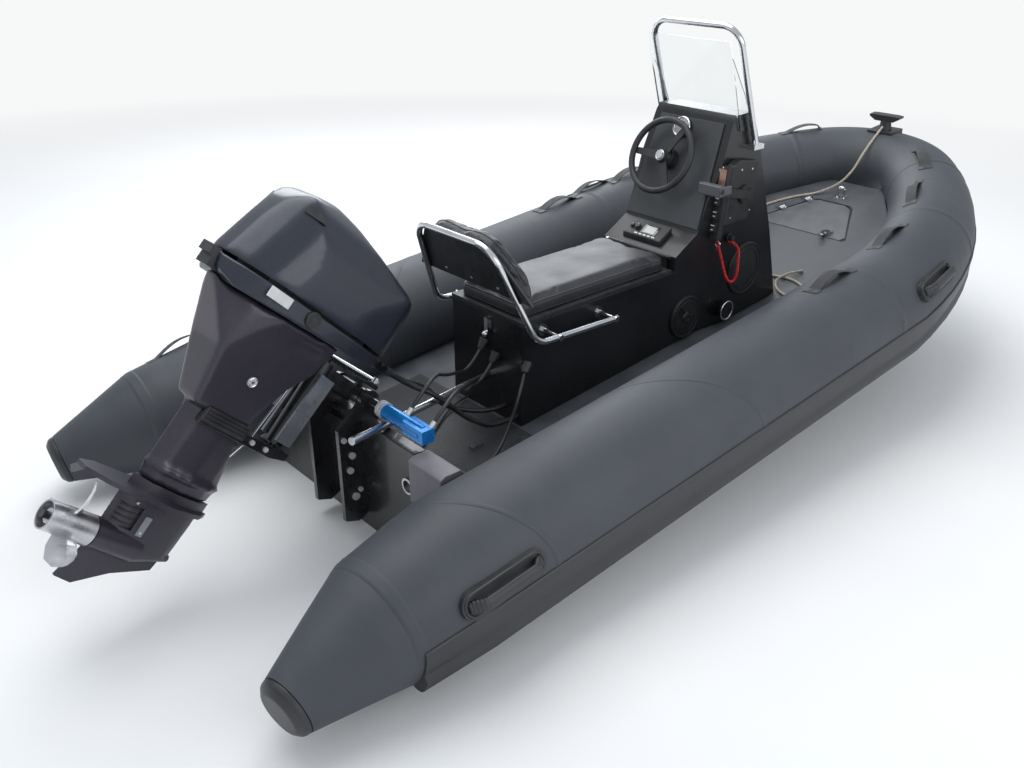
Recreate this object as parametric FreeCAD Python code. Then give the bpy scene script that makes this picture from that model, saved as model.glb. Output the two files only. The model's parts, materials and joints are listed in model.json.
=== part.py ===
import FreeCAD, Part
import math
import os

V = FreeCAD.Vector

# Frame: millimetres, X to the bow, Y to port, Z up.
# The origin is on the centreline at the waterline, under the aft face of the transom.

# Sides of the many-sided rings
TUBE_SIDES = 32
RAIL_SIDES = 12
CORD_SIDES = 8

# Tubes
TUBE_R = 232.0
TUBE_Y = 772.0
TUBE_Z = 267.0
TUBE_RISE = 0.0957
TUBE_AFT_X = -150.0
SEAM_X = 2200.0
BOW_RISE = 0.20
BOW_DECK_RISE = 0.27
BOW_X = 3510.0
BOW_R = 180.0
BOW_TURN = 42.0
CONE_MID = (-420.0, 790.0, 222.0, 202.0)
CONE_TIP = (-738.0, 836.0, 155.0, 94.0)
CAP_LONG = 36.0
CAP_R = 68.0

# Hull and deck
DECK_Z = 150.0
DECK_THICK = 24.0
TRANSOM_THICK = 50.0
TRANSOM_TOP = 435.0
TRANSOM_HALF = 560.0
HULL_ROWS = (
    # x, keel z, chine y, chine z, rim y
    (0.0, -232.0, 560.0, -60.0, 640.0),
    (1200.0, -225.0, 570.0, -30.0, 640.0),
    (2200.0, -150.0, 520.0, 80.0, 620.0),
    (2900.0, 60.0, 340.0, 290.0, 480.0),
    (3300.0, 330.0, 120.0, 470.0, 250.0),
)
DECK_END_X = HULL_ROWS[-1][0]

# Bow hatch
HATCH_AFT_X = 2775.0
HATCH_FWD_X = 3080.0
HATCH_AFT_HALF = 268.0
HATCH_FWD_HALF = 108.0
HATCH_THICK = 18.0
HATCH_GAP = 6.0
HATCH_CORNER = 30.0
HATCH_UNDERCUT = 8.0
LOCKER_DEEP = 120.0
HINGE_UP = 11.0
HINGE_OUT = 12.0
HINGE_PIN_R = 3.0
HINGE_AT = (0.47, 0.9)

# Console and seat moulding
WALL = 12.0
SEAT_HALF = 205.0
CONSOLE_HALF = 238.0
CONSOLE_TOP_HALF = 205.0
FLARE_X = (1700.0, 1850.0)
SEAT_AFT_X = 655.0
SEAT_FWD_X = 1525.0
SEAT_RIM_Z = 640.0
SHELF_FWD_X = 1660.0
SHELF_AFT_Z = 702.0
SHELF_FWD_Z = 778.0
FASCIA_TOP = (1832.0, 1220.0)
CONSOLE_TOP_AFT = (1850.0, 1246.0)
CONSOLE_TOP_FWD = (1950.0, 1250.0)
CONSOLE_NOSE = (1978.0, 1225.0)
CONSOLE_STEP = (2030.0, 1090.0)
CONSOLE_FOOT_X = 2245.0

# Seat cushion and its board
CUSHION_THICK = 62.0
BOARD_THICK = 12.0
SEAT_FRONT_GAP = 17.0
SEAT_PIN = (1517.0, 698.0)
SEAT_PIN_R = 4.0
SEAT_BARREL_R = 7.0
RUN_GAP = 0.05

# Backrest
REST_TUBE_R = 12.5

# Steering wheel
WHEEL_ALONG = 275.5
WHEEL_Y = 50.0
WHEEL_OUT = 75.0
WHEEL_R = 168.0
WHEEL_RIM_R = 14.0
WHEEL_LEAN = 24.0

# Outboard: rows are in its running position, measured from the tilt pivot
PIVOT = V(40.0, 0.0, 500.0)
REST_TILT = 45.0
STEER_A = -170.0
SEAM_B = 135.0
ARM_A = 62.0
ARM_B = 52.0
ARM_HALF = 8.0
LINK_GAP = 3.0
LINK_Y = 322.0
TILT_TUBE_R = 18.0
TILT_BORE_R = 9.0
STEER_SHAFT_R = 14.0
PROP_SHAFT_R = 12.0
COWL_HALF = 193.0
COWL_SIDE = (
    # aft to forward, up
    (-750.0, 135.0),
    (-724.0, 200.0),
    (-696.0, 300.0),
    (-664.0, 385.0),
    (-612.0, 438.0),
    (-500.0, 462.0),
    (-400.0, 448.0),
    (-235.0, 396.0),
    (-66.0, 348.0),
    (-30.0, 316.0),
    (-14.0, 240.0),
    (-8.0, 135.0),
)
COWL_PLAN = (
    # aft to forward, half width; then how far the aft end moves ahead at the top
    (-742.0, 40.0, 100.0),
    (-700.0, 108.0, 108.0),
    (-630.0, 162.0, 100.0),
    (-540.0, 193.0, 80.0),
    (-280.0, 193.0, 0.0),
    (-140.0, 168.0, 0.0),
    (-90.0, 130.0, 0.0),
    (-8.0, 45.0, 0.0),
)
PROP_B = -778.0
CASING_FRONT = (
    # half width, up
    (156.0, 100.0),
    (126.0, 0.0),
    (64.0, -292.0),
)
POCKET_DEEP = 9.0
CASING_POCKETS = (
    # outlines of the hollows in each side, ahead and up
    ((-420.0, 40.0), (-300.0, 52.0), (-300.0, -20.0), (-372.0, -48.0)),
    ((-470.0, -70.0), (-400.0, -92.0), (-392.0, -190.0), (-440.0, -206.0), (-476.0, -140.0)),
)


# Small pieces
RIM_OUT = 9.0
RIM_THICK = 10.0
PANEL_THICK = 8.0
GAUGE_ALONG = 415.0
GAUGE_Y = 28.0
GAUGE_R = 44.0
SPINDLE_R = 9.0
CAP_RIM_R = 17.0
UNIT_X = 1594.0
UNIT_Y = 12.0
UNIT_HIGH = 26.0
POD_Y = 262.0
LEVER_X = 1880.0
LEVER_Z = 922.0
LEVER_DISC_R = 40.0
GRIP_X = 1690.0
GRIP_Z = 968.0
GRIP_END_Y = 176.0
SMALL_HATCH = (1616.0, 411.0)
SMALL_HATCH_R = 98.0
LARGE_HATCH = (1975.0, 560.0)
LARGE_HATCH_R = 122.0
CUP_AT = (1850.0, 392.0)
SEAT_LEAF_HALF = 170.0
BOOT_R = 24.0
BOOT_TIP_R = 13.0
BOOT_LONG = 42.0
BOOT_ROWS = (
    # x, y, z, direction
    (655.0, 8.0, 512.0, V(-0.7, -0.1, -0.7)),
    (655.0, -60.0, 478.0, V(-0.7, -0.1, -0.7)),
    (680.0, -205.0, 474.0, V(-0.7, -0.5, -0.5)),
)
PROP_A = -645.0
PROP_HUB_R = 50.0
PROP_PITCH = 300.0
PROP_REST = 25.0
PROP_ROWS = (
    # radius, chord, thickness, skew
    (40.0, 62.0, 9.0, 0.0),
    (72.0, 92.0, 7.0, 3.0),
    (108.0, 104.0, 5.0, 8.0),
    (136.0, 70.0, 3.5, 15.0),
    (148.0, 22.0, 2.5, 20.0),
)
GEAR_R = 50.0
GEAR_AFT_A = -566.0
ENGINE_BOLTS = (
    # a, b, y from, y to, radius
    (-440.0, -147.0, 80.0, 100.0, 17.0),
    (-292.0, -316.0, 50.0, 72.0, 9.0),
    (-232.0, -316.0, 50.0, 72.0, 9.0),
)
NOSE_R = 38.0
GLAND_A = 6.0
GLAND_B = 119.0
GLAND_Y = (-100.0, -66.0)
CLAMP_BOLTS = (
    # x, z, radius
    (-50.0, 318.0, 12.0),
    (-62.0, 262.0, 12.0),
    (-48.0, 150.0, 14.0),
    (-27.0, 172.0, 9.0),
    (-78.0, 388.0, 10.0),
)
CYLINDER_R = 27.0
FITTING_Y = (-300.0, -424.0)
FITTING_LONG = 26.0
HOOP_R = 13.0
HOOP_BEND = 85.0
HOOP_FOOT_Z = 1118.0
HOOP_FOOT_IN = 16.0
HOOP_TOP_Z = 1598.0
HOOP_LEAN = 177.0
HOOP_HALF = (238.0, 226.0)
SCREEN_HALF = 214.0
SCREEN_FOOT = (2.0, -10.0)
SCREEN_RISE = (-104.0, 309.0)
SCREEN_WING = (
    (1872.0, 1178.0),
    (1955.0, 1176.0),
    (1880.0, 1325.0),
    (1771.0, 1480.0),
)
REST_POINTS = (
    # from the forward end along the seat side, up to the top corner, on the starboard side
    (1076.0, -296.0, 583.0),
    (650.0, -296.0, 597.0),
    (497.0, -214.0, 975.0),
)
REST_BEND = 75.0
REST_TOP_BEND = 95.0
REST_FIXINGS = ((759.0, 593.4), (1062.0, 583.5))
REST_BOARD_LOW = 172.0
REST_BOARD_THICK = 10.0
REST_PAD_THICK = 72.0
PAD_FOOT_THICK = 38.0
PAD_FOOT_UP = 62.0
HANDLE_LONG = 316.0
HANDLE_HALF = 46.0
HANDLE_AFT_X = -116.0
HANDLE_TURN = 3.4
STRAP_LONG = 225.0
STRAP_WIDE = 50.0
STRAP_ROWS = (
    # x on the straight tube or 0, turn round the bow, degrees above the horizontal, side
    (1840.0, 0.0, 96.0, -1),
    (0.0, 6.0, 108.0, -1),
    (0.0, 24.0, 118.0, -1),
    (0.0, 38.0, 105.0, -1),
    (1790.0, 0.0, 88.0, 1),
    (2080.0, 0.0, 76.0, 1),
    (0.0, 4.0, 86.0, 1),
    (0.0, 40.0, 88.0, 1),
    (-212.0, 0.0, 70.0, 1),
)
KNEE_Y = 408.0
RING_X = 3150.0
DRAIN_AT = (-372.0, 300.0)
MAT_X = (60.0, 640.0)
MAT_HALF = 430.0
MAT_THICK = 4.0
DECK_CLIPS = ((440.0, -190.0), (590.0, -300.0))
PADDLE_R = 14.0
PADDLE_ENDS = ((-140.0, -262.0, 476.6), (646.0, -6.0, 364.8))
CABLE_R = 10.0
CABLE_ROWS = (
    ((305.0, -146.0, 444.0), (400.0, -165.0, 335.0), (500.0, -185.0, 262.0), (590.0, -180.0, 250.0),
     (655.0, -180.0, 250.0)),
    ((322.0, -60.0, 440.0), (400.0, -30.0, 330.0), (500.0, -60.0, 280.0), (590.0, -110.0, 270.0),
     (655.0, -110.0, 270.0)),
)
GLAND_RUN = 88.0
HOSE_R = 6.5
BOOT_RUN = 92.0
FITTING_RUN = 138.0
HOSE_ROWS = (
    ((470.0, -50.0, 450.0), (330.0, -150.0, 520.0)),
    ((470.0, -130.0, 425.0), (360.0, -230.0, 470.0)),
    ((540.0, -276.0, 310.0), (460.0, -305.0, 232.0), (330.0, -350.0, 206.0), (170.0, -384.0, 212.0),
     (50.0, -384.0, 212.0)),
)
DECK_HOSE_R = 4.0
DECK_HOSE_ROWS = (
    (655.0, 110.0, 228.0),
    (600.0, 110.0, 228.0),
    (500.0, 80.0, 210.0),
    (400.0, 15.0, 199.5),
    (263.0, -56.0, 186.5),
    (140.0, -110.0, 176.0),
    (50.0, -110.0, 176.0),
)
ROPE_R = 6.5
ROPE_START = (3488.0, 0.0, 950.0)
ROPE_AIR = ((3340.0, -5.0, 866.0), (3215.0, 6.0, 704.0))
ROPE_PLAN = (
    # along the port side of the hatch, then the coil; x, y, lift over the deck
    (3135.0, 112.0, 0.0),
    (3045.0, 218.0, 0.0),
    (2905.0, 305.0, 0.0),
    (2740.0, 345.0, 0.0),
    (2520.0, 260.0, 0.0),
    (2400.0, 60.0, 0.0),
    (2336.0, -100.0, 0.0),
    (2376.0, -264.0, 0.0),
    (2302.0, -390.0, 0.0),
    (2222.0, -318.0, 0.0),
    (2290.0, -196.0, 2.0),
    (2366.0, -214.0, 21.0),
    (2450.0, -255.0, 0.0),
)
ROPE_LIE = 0.3
KILL_R = 4.0
KILL_ROWS = (
    (1838.0, -237.3, 716.0),
    (1838.0, -292.0, 716.0),
    (1842.0, -298.0, 640.0),
    (1836.0, -300.0, 552.0),
    (1779.0, -298.0, 548.0),
    (1764.0, -266.0, 648.0),
    (1747.0, -245.0, 742.0),
)


def box(x0, x1, y0, y1, z0, z1):
    return Part.makeBox(x1 - x0, y1 - y0, z1 - z0, V(x0, y0, z0))


def face_of(points):
    return Part.Face(Part.makePolygon(list(points) + [points[0]]))


def prism_y(rows, y0, y1):
    face = face_of([V(x, y0, z) for x, z in rows])
    return face.extrude(V(0, y1 - y0, 0))


def prism_x(rows, x0, x1):
    face = face_of([V(x0, y, z) for y, z in rows])
    return face.extrude(V(x1 - x0, 0, 0))


def prism_z(rows, z0, z1):
    face = face_of([V(x, y, z0) for x, y in rows])
    return face.extrude(V(0, 0, z1 - z0))


def rod(p, q, radius):
    return Part.makeCylinder(radius, (q - p).Length, p, q - p)


def ring_wire(at, along, radius, sides):
    # A many-sided ring whose first corner always lies on the same side, so lofts don't twist.
    ahead = V(along).normalize()
    if abs(ahead.z) > 0.99:
        side = V(1, 0, 0)
    else:
        side = V(-ahead.y, ahead.x, 0).normalize()
    up = ahead.cross(side)
    corners = []
    for k in range(sides):
        turn = 2 * math.pi * (k + 0.5) / sides
        corners.append(at + side * (radius * math.cos(turn)) + up * (radius * math.sin(turn)))
    return Part.makePolygon(corners + [corners[0]])


def largest(shape):
    return max(shape.Solids, key=lambda solid: solid.Volume)


def placed(shape, at, ahead, up):
    # Moves a piece drawn at the origin: its X goes to ahead and its Z to up.
    z = V(up).normalize()
    y = z.cross(ahead).normalize()
    x = y.cross(z)
    grid = FreeCAD.Matrix(x.x, y.x, z.x, at.x, x.y, y.y, z.y, at.y, x.z, y.z, z.z, at.z, 0, 0, 0, 1)
    moved = shape.copy()
    moved.transformShape(grid)
    return moved


def mirrored(shape):
    return shape.mirror(V(0, 0, 0), V(0, 1, 0))


def both_sides(shape):
    return [shape, mirrored(shape)]


def fused(shapes):
    whole = shapes[0]
    for piece in shapes[1:]:
        whole = whole.fuse(piece)
    return whole.removeSplitter()


def bend_rows(points, bend):
    # Straight runs and tangent arcs: each arc has its ends, its top, its centre and its turn.
    rows = []
    start = points[0]
    for i in range(1, len(points) - 1):
        corner = points[i]
        back = (points[i - 1] - corner).normalize()
        ahead = (points[i + 1] - corner).normalize()
        turn = math.pi - back.getAngle(ahead)
        radius = bend[i - 1] if isinstance(bend, tuple) else bend
        cut = radius * math.tan(turn / 2)
        enter = corner + back * cut
        leave = corner + ahead * cut
        middle = (back + ahead).normalize()
        centre = corner + middle * (radius / math.cos(turn / 2))
        rows.append((start, enter, centre - middle * radius, leave, centre, turn))
        start = leave
    rows.append((start, points[-1], None, None, None, 0.0))
    return rows


def bent_tube(points, bend, radius, sides):
    # One section is carried along straight runs and turned round the bends, so its corners meet.
    section = Part.Face(ring_wire(points[0], points[1] - points[0], radius, sides))
    pieces = []
    for start, enter, top, leave, centre, turn in bend_rows(points, bend):
        run = enter - start
        pieces.append(section.extrude(run))
        section = section.copy()
        section.translate(run)
        if top is not None:
            axis = (enter - centre).cross(run)
            degrees = math.degrees(turn)
            pieces.append(section.revolve(centre, axis, degrees))
            section = section.copy()
            section.rotate(centre, axis, degrees)
    return fused(pieces)


def limp_bends(points):
    # The bend at each corner of a cord, from its shorter run and its turn.
    rows = []
    for i in range(1, len(points) - 1):
        back = points[i - 1] - points[i]
        ahead = points[i + 1] - points[i]
        turn = math.pi - back.getAngle(ahead)
        rows.append(0.45 * min(back.Length, ahead.Length) / math.tan(turn / 2))
    return rows


def cord(points, radius):
    bends = tuple(limp_bends(points))
    long = 0.0
    for start, enter, top, leave, centre, turn in bend_rows(points, bends):
        long += (enter - start).Length
        if top is not None:
            long += (enter - centre).Length * turn
    tube = bent_tube(points, bends, radius, CORD_SIDES)
    area = 0.5 * CORD_SIDES * radius * radius * math.sin(2 * math.pi / CORD_SIDES)
    print("cord", round(long), "mm, radii", [round(b) for b in bends],
          "volume ratio", round(tube.Volume / (area * long), 4))
    return tube


def save(node, *shapes):
    solids = []
    for shape in shapes:
        solids.extend(shape.Solids)
    Part.makeCompound(solids).exportStep("parts/" + node + ".step")


def deck_height(x):
    if x < SEAM_X:
        return DECK_Z + TUBE_RISE * x
    return DECK_Z + TUBE_RISE * SEAM_X + BOW_DECK_RISE * (x - SEAM_X)


def tube_height(x):
    if x < SEAM_X:
        return TUBE_Z + TUBE_RISE * x
    return TUBE_Z + TUBE_RISE * SEAM_X + BOW_RISE * (x - SEAM_X)


def bow_arcs():
    # Two tangent arcs in plan: a wide one from the seam, then a tight one round the bow.
    run = BOW_X - SEAM_X
    s = math.sin(math.radians(BOW_TURN))
    c = math.cos(math.radians(BOW_TURN))
    wide = (run * c - TUBE_Y * (1 - s)) / (s * c - (1 - c) * (1 - s))
    tight = (TUBE_Y - wide * (1 - c)) / c
    return wide, tight


def tube_station(turn):
    # Plan position, heading and radius on the port side, by degrees turned from straight ahead.
    wide, tight = bow_arcs()
    t = math.radians(turn)
    b = math.radians(BOW_TURN)
    if turn <= BOW_TURN:
        x = SEAM_X + wide * math.sin(t)
        y = TUBE_Y - wide * (1 - math.cos(t))
    else:
        x = SEAM_X + wide * math.sin(b) + tight * (math.sin(t) - math.sin(b))
        y = tight * math.cos(t)
    part = (x - SEAM_X) / (BOW_X - SEAM_X)
    radius = TUBE_R + (BOW_R - TUBE_R) * part
    rise = BOW_RISE if turn > 0 else (BOW_RISE + TUBE_RISE) / 2
    heading = V(math.cos(t), -math.sin(t), rise * math.cos(t)).normalize()
    return V(x, y, tube_height(x)), heading, radius


TURNS = (0.0, 10.5, 21.0, 31.5, 42.0, 54.0, 66.0, 78.0, 90.0)


def tube_ring(at, along, radius):
    return ring_wire(at, along, radius, TUBE_SIDES)


def make_tubes():
    seam_at, seam_along, seam_r = tube_station(0.0)
    aft_at = V(TUBE_AFT_X, TUBE_Y, tube_height(TUBE_AFT_X))
    aft_along = V(1, 0, TUBE_RISE)
    aft = tube_ring(aft_at, aft_along, TUBE_R)
    straight = Part.makeLoft([aft, tube_ring(seam_at, seam_along, TUBE_R)], True, True)
    mx, my, mz, mr = CONE_MID
    tx, ty, tz, tr = CONE_TIP
    mid = tube_ring(V(mx, my, mz), V(1, -0.08, 0.14), mr)
    tip = tube_ring(V(tx, ty, tz), V(1, -0.15, 0.2), tr)
    cone = Part.makeLoft([tip, mid, aft], True, True)
    side = fused([straight, cone])
    rings = [tube_ring(*tube_station(t)) for t in TURNS]
    half_bow = Part.makeLoft(rings, True, True)
    return fused(both_sides(side) + both_sides(half_bow))


def make_end_caps():
    tx, ty, tz, tr = CONE_TIP
    along = V(1, -0.15, 0.2).normalize()
    at = V(tx, ty, tz)
    far = at - along * CAP_LONG
    cap = Part.makeLoft(
        [tube_ring(at, along, tr), tube_ring(at - along * CAP_LONG * 0.55, along, tr - 5),
         tube_ring(far, along, CAP_R)], True, True)
    return both_sides(cap)


STRAKE_ROWS = (
    # beyond the tube's radius, degrees above the horizontal
    (-12.0, 4.0),
    (6.0, 3.0),
    (7.0, -21.0),
    (27.0, -25.0),
    (29.0, -32.0),
    (24.0, -39.0),
    (6.0, -43.0),
    (-12.0, -44.0),
)


def strake_wire(at, heading, radius):
    out = V(-heading.y, heading.x, 0).normalize()
    rows = []
    for depth, degrees in STRAKE_ROWS:
        a = math.radians(degrees)
        rows.append(at + out * ((radius + depth) * math.cos(a))
                    + V(0, 0, (radius + depth) * math.sin(a)))
    return Part.makePolygon(rows + [rows[0]])


def make_strake(tubes):
    mx, my, mz, mr = CONE_MID
    aft = (V(mx, my, mz), V(1, -0.06, 0), mr)
    mid = (V(TUBE_AFT_X, TUBE_Y, tube_height(TUBE_AFT_X)), V(1, 0, 0), TUBE_R)
    rows = [aft, mid] + [tube_station(t) for t in TURNS]
    wires = [strake_wire(*row) for row in rows]
    side = Part.makeLoft(wires, True, True)
    whole = fused(both_sides(side))
    return largest(whole.cut(tubes))


def make_hull(tubes):
    wires = []
    for x, keel, chine_y, chine_z, rim in HULL_ROWS:
        top = deck_height(x) - DECK_THICK
        rows = [(0, keel), (chine_y, chine_z), (rim, top), (-rim, top), (-chine_y, chine_z)]
        wires.append(Part.makePolygon([V(x, y, z) for y, z in rows + [rows[0]]]))
    body = Part.makeLoft(wires, True, True)
    return largest(body.cut(tubes))


def deck_plan():
    rows = [(TRANSOM_THICK, HULL_ROWS[0][4])] + [(row[0], row[4]) for row in HULL_ROWS[2:]]
    return rows + [(x, -y) for x, y in reversed(rows)]


def make_deck(tubes):
    side = [(TRANSOM_THICK, deck_height(TRANSOM_THICK)), (SEAM_X, deck_height(SEAM_X)),
            (DECK_END_X, deck_height(DECK_END_X))]
    low = [(x, z - DECK_THICK) for x, z in reversed(side)]
    slab = prism_y(side + low, -700.0, 700.0)
    slab = slab.common(prism_z(deck_plan(), -200.0, 1200.0))
    return largest(slab.cut(tubes))


def hatch_rows(grow):
    return [
        (HATCH_AFT_X - grow, HATCH_AFT_HALF + grow),
        (HATCH_FWD_X + grow, HATCH_FWD_HALF + grow),
        (HATCH_FWD_X + grow, -HATCH_FWD_HALF - grow),
        (HATCH_AFT_X - grow, -HATCH_AFT_HALF - grow),
    ]


def clipped(rows, cut):
    # The same outline with its corners cut off.
    points = []
    for i, (x, y) in enumerate(rows):
        for near in (rows[i - 1], rows[(i + 1) % len(rows)]):
            part = cut / math.hypot(near[0] - x, near[1] - y)
            points.append((x + (near[0] - x) * part, y + (near[1] - y) * part))
    return points


def deck_slab(top, thick):
    # A layer parallel to the bow deck, from top down by thick.
    x0, x1 = SEAM_X, DECK_END_X + 100.0
    rows = [(x0, deck_height(x0) + top), (x1, deck_height(x1) + top),
            (x1, deck_height(x1) + top - thick), (x0, deck_height(x0) + top - thick)]
    return prism_y(rows, -500.0, 500.0)


def tower_front(inset):
    side = CONSOLE_HALF - inset
    top = CONSOLE_TOP_HALF - inset
    return [(-side, 0.0), (side, 0.0), (side, 700.0), (top, 1300.0), (-top, 1300.0), (-side, 700.0)]


def tower_plan(inset):
    near = SEAT_HALF - inset
    far = CONSOLE_HALF - inset
    rows = [(SEAT_FWD_X - 5, near), (FLARE_X[0], near), (FLARE_X[1], far), (CONSOLE_FOOT_X + 60, far)]
    return rows + [(x, -y) for x, y in reversed(rows)]


def tower_half(z):
    return CONSOLE_HALF - (CONSOLE_HALF - CONSOLE_TOP_HALF) * (z - 700.0) / 600.0


def shape_tower(side_rows, inset):
    tower = prism_y(side_rows, -CONSOLE_HALF, CONSOLE_HALF)
    tower = tower.common(prism_x(tower_front(inset), SEAT_FWD_X, CONSOLE_FOOT_X))
    return tower.common(prism_z(tower_plan(inset), 0.0, 1400.0))


def make_console():
    low = deck_height
    w = WALL
    seat = [(SEAT_AFT_X, low(SEAT_AFT_X)), (SEAT_AFT_X, SEAT_RIM_Z), (SEAT_FWD_X + 60, SEAT_RIM_Z),
            (SEAT_FWD_X + 60, low(SEAT_FWD_X + 60))]
    seat_solid = prism_y(seat, -SEAT_HALF, SEAT_HALF)
    tower = [(SEAT_FWD_X, low(SEAT_FWD_X)), (SEAT_FWD_X, SHELF_AFT_Z), (SHELF_FWD_X, SHELF_FWD_Z),
             FASCIA_TOP, CONSOLE_TOP_AFT, CONSOLE_TOP_FWD, CONSOLE_NOSE, CONSOLE_STEP,
             (CONSOLE_FOOT_X, low(CONSOLE_FOOT_X))]
    outer = fused([seat_solid, shape_tower(tower, 0.0)])
    seat_in = [(SEAT_AFT_X + w, low(SEAT_AFT_X) - 5), (SEAT_AFT_X + w, SEAT_RIM_Z + 5),
               (SEAT_FWD_X - w, SEAT_RIM_Z + 5), (SEAT_FWD_X - w, low(SEAT_AFT_X) - 5)]
    hollow_seat = prism_y(seat_in, -SEAT_HALF + w, SEAT_HALF - w)
    tower_in = [(SEAT_FWD_X + w, low(SEAT_AFT_X) - 5), (SEAT_FWD_X + w, SHELF_AFT_Z - w),
                (SHELF_FWD_X + w, SHELF_FWD_Z - w), (FASCIA_TOP[0] + w, FASCIA_TOP[1] - w),
                (CONSOLE_TOP_FWD[0] - w, CONSOLE_TOP_FWD[1] - 2 * w),
                (CONSOLE_STEP[0] - w, CONSOLE_STEP[1] - w),
                (CONSOLE_FOOT_X - 2 * w, low(SEAT_AFT_X) - 5)]
    hollow_tower = shape_tower(tower_in, w)
    rim = box(SEAT_AFT_X - RIM_OUT, SEAT_FWD_X, -SEAT_HALF - RIM_OUT, SEAT_HALF + RIM_OUT,
              SEAT_RIM_Z - RIM_THICK, SEAT_RIM_Z)
    return fused([outer, rim]).cut(hollow_seat).cut(hollow_tower)


def fascia_point(along, y, out):
    # A point over the sloped aft face of the console: along from its foot, and out from it.
    dx = FASCIA_TOP[0] - SHELF_FWD_X
    dz = FASCIA_TOP[1] - SHELF_FWD_Z
    long = math.hypot(dx, dz)
    return V(SHELF_FWD_X + (dx * along - dz * out) / long, y,
             SHELF_FWD_Z + (dz * along + dx * out) / long)


def fascia_normal():
    return (fascia_point(0.0, 0.0, 1.0) - fascia_point(0.0, 0.0, 0.0)).normalize()


WHEEL_AT = fascia_point(WHEEL_ALONG, WHEEL_Y, WHEEL_OUT)


def fascia_plate(rows, out0, out1):
    # rows are along and y pairs on the sloped face
    face = face_of([fascia_point(along, y, out0) for along, y in rows])
    return face.extrude(fascia_normal() * (out1 - out0))


def make_dash(console):
    nodes = {}
    low = SEAT_HALF - 5.0
    high = CONSOLE_TOP_HALF - 35.0
    panel = [(14.0, low), (462.0, high), (462.0, -high), (14.0, -low)]
    nodes["fascia"] = [fascia_plate(panel, 0.0, PANEL_THICK)]
    at = fascia_point(GAUGE_ALONG, GAUGE_Y, PANEL_THICK)
    nodes["gauge"] = [rod(at, at + fascia_normal() * 16.0, GAUGE_R)]
    column = wheel_point(0.0, 0.0, 22.0)
    inward = (wheel_point(0.0, 0.0, 1.0) - wheel_point(0.0, 0.0, 0.0)).normalize()
    housing = rod(column, column + inward * 90.0, 46.0)
    housing = housing.cut(fascia_plate([(-200.0, -300.0), (700.0, -300.0), (700.0, 300.0),
                                        (-200.0, 300.0)], PANEL_THICK - 200.0, PANEL_THICK))
    spindle = rod(wheel_point(0.0, 0.0, -4.0), column + inward * 20.0, SPINDLE_R)
    nodes["helm"] = [fused([largest(housing), spindle])]
    shelf_slope = (SHELF_FWD_Z - SHELF_AFT_Z) / (SHELF_FWD_X - SEAT_FWD_X)
    unit = box(UNIT_X - 48, UNIT_X + 34, UNIT_Y - 104, UNIT_Y + 104, 700.0, 800.0)
    top = [(1400.0, SHELF_AFT_Z + shelf_slope * (1400.0 - SEAT_FWD_X) + UNIT_HIGH),
           (1800.0, SHELF_AFT_Z + shelf_slope * (1800.0 - SEAT_FWD_X) + UNIT_HIGH),
           (1800.0, 600.0), (1400.0, 600.0)]
    unit = unit.common(prism_y(top, -300.0, 300.0)).cut(console)
    nodes["instrument_unit"] = [largest(unit)]
    return nodes


def wheel_point(right, up, inward):
    a = math.radians(WHEEL_LEAN)
    return V(WHEEL_AT.x + up * math.sin(a) + inward * math.cos(a), WHEEL_AT.y - right,
             WHEEL_AT.z + up * math.cos(a) - inward * math.sin(a))


def make_wheel():
    rim = []
    for k in range(12):
        a = math.radians(30.0 * k)
        rim.append(V(WHEEL_R - WHEEL_RIM_R + WHEEL_RIM_R * math.cos(a), 0, WHEEL_RIM_R * math.sin(a)))
    ring = face_of(rim).revolve(V(0, 0, 0), V(0, 0, 1), 360)
    boss = Part.makeCone(36.0, 27.0, 30.0, V(0, 0, -22))
    arms = []
    for angle in (90.0, 210.0, 330.0):
        arm = prism_z([(14.0, -19.0), (WHEEL_R - WHEEL_RIM_R, -13.0), (WHEEL_R - WHEEL_RIM_R, 13.0),
                       (14.0, 19.0)], -12.0, -4.0)
        arm.rotate(V(0, 0, 0), V(0, 0, 1), angle)
        arms.append(arm)
    wheel = fused([ring, boss] + arms)
    wheel = wheel.cut(Part.makeCylinder(SPINDLE_R + RUN_GAP, 30.0, V(0, 0, -25)))
    cap = Part.makeCylinder(CAP_RIM_R, 7.0, V(0, 0, 8))
    for piece in (wheel, cap):
        piece.rotate(V(0, 0, 0), V(0, 1, 0), -90 + WHEEL_LEAN)
        piece.translate(WHEEL_AT)
    return wheel, cap


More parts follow.
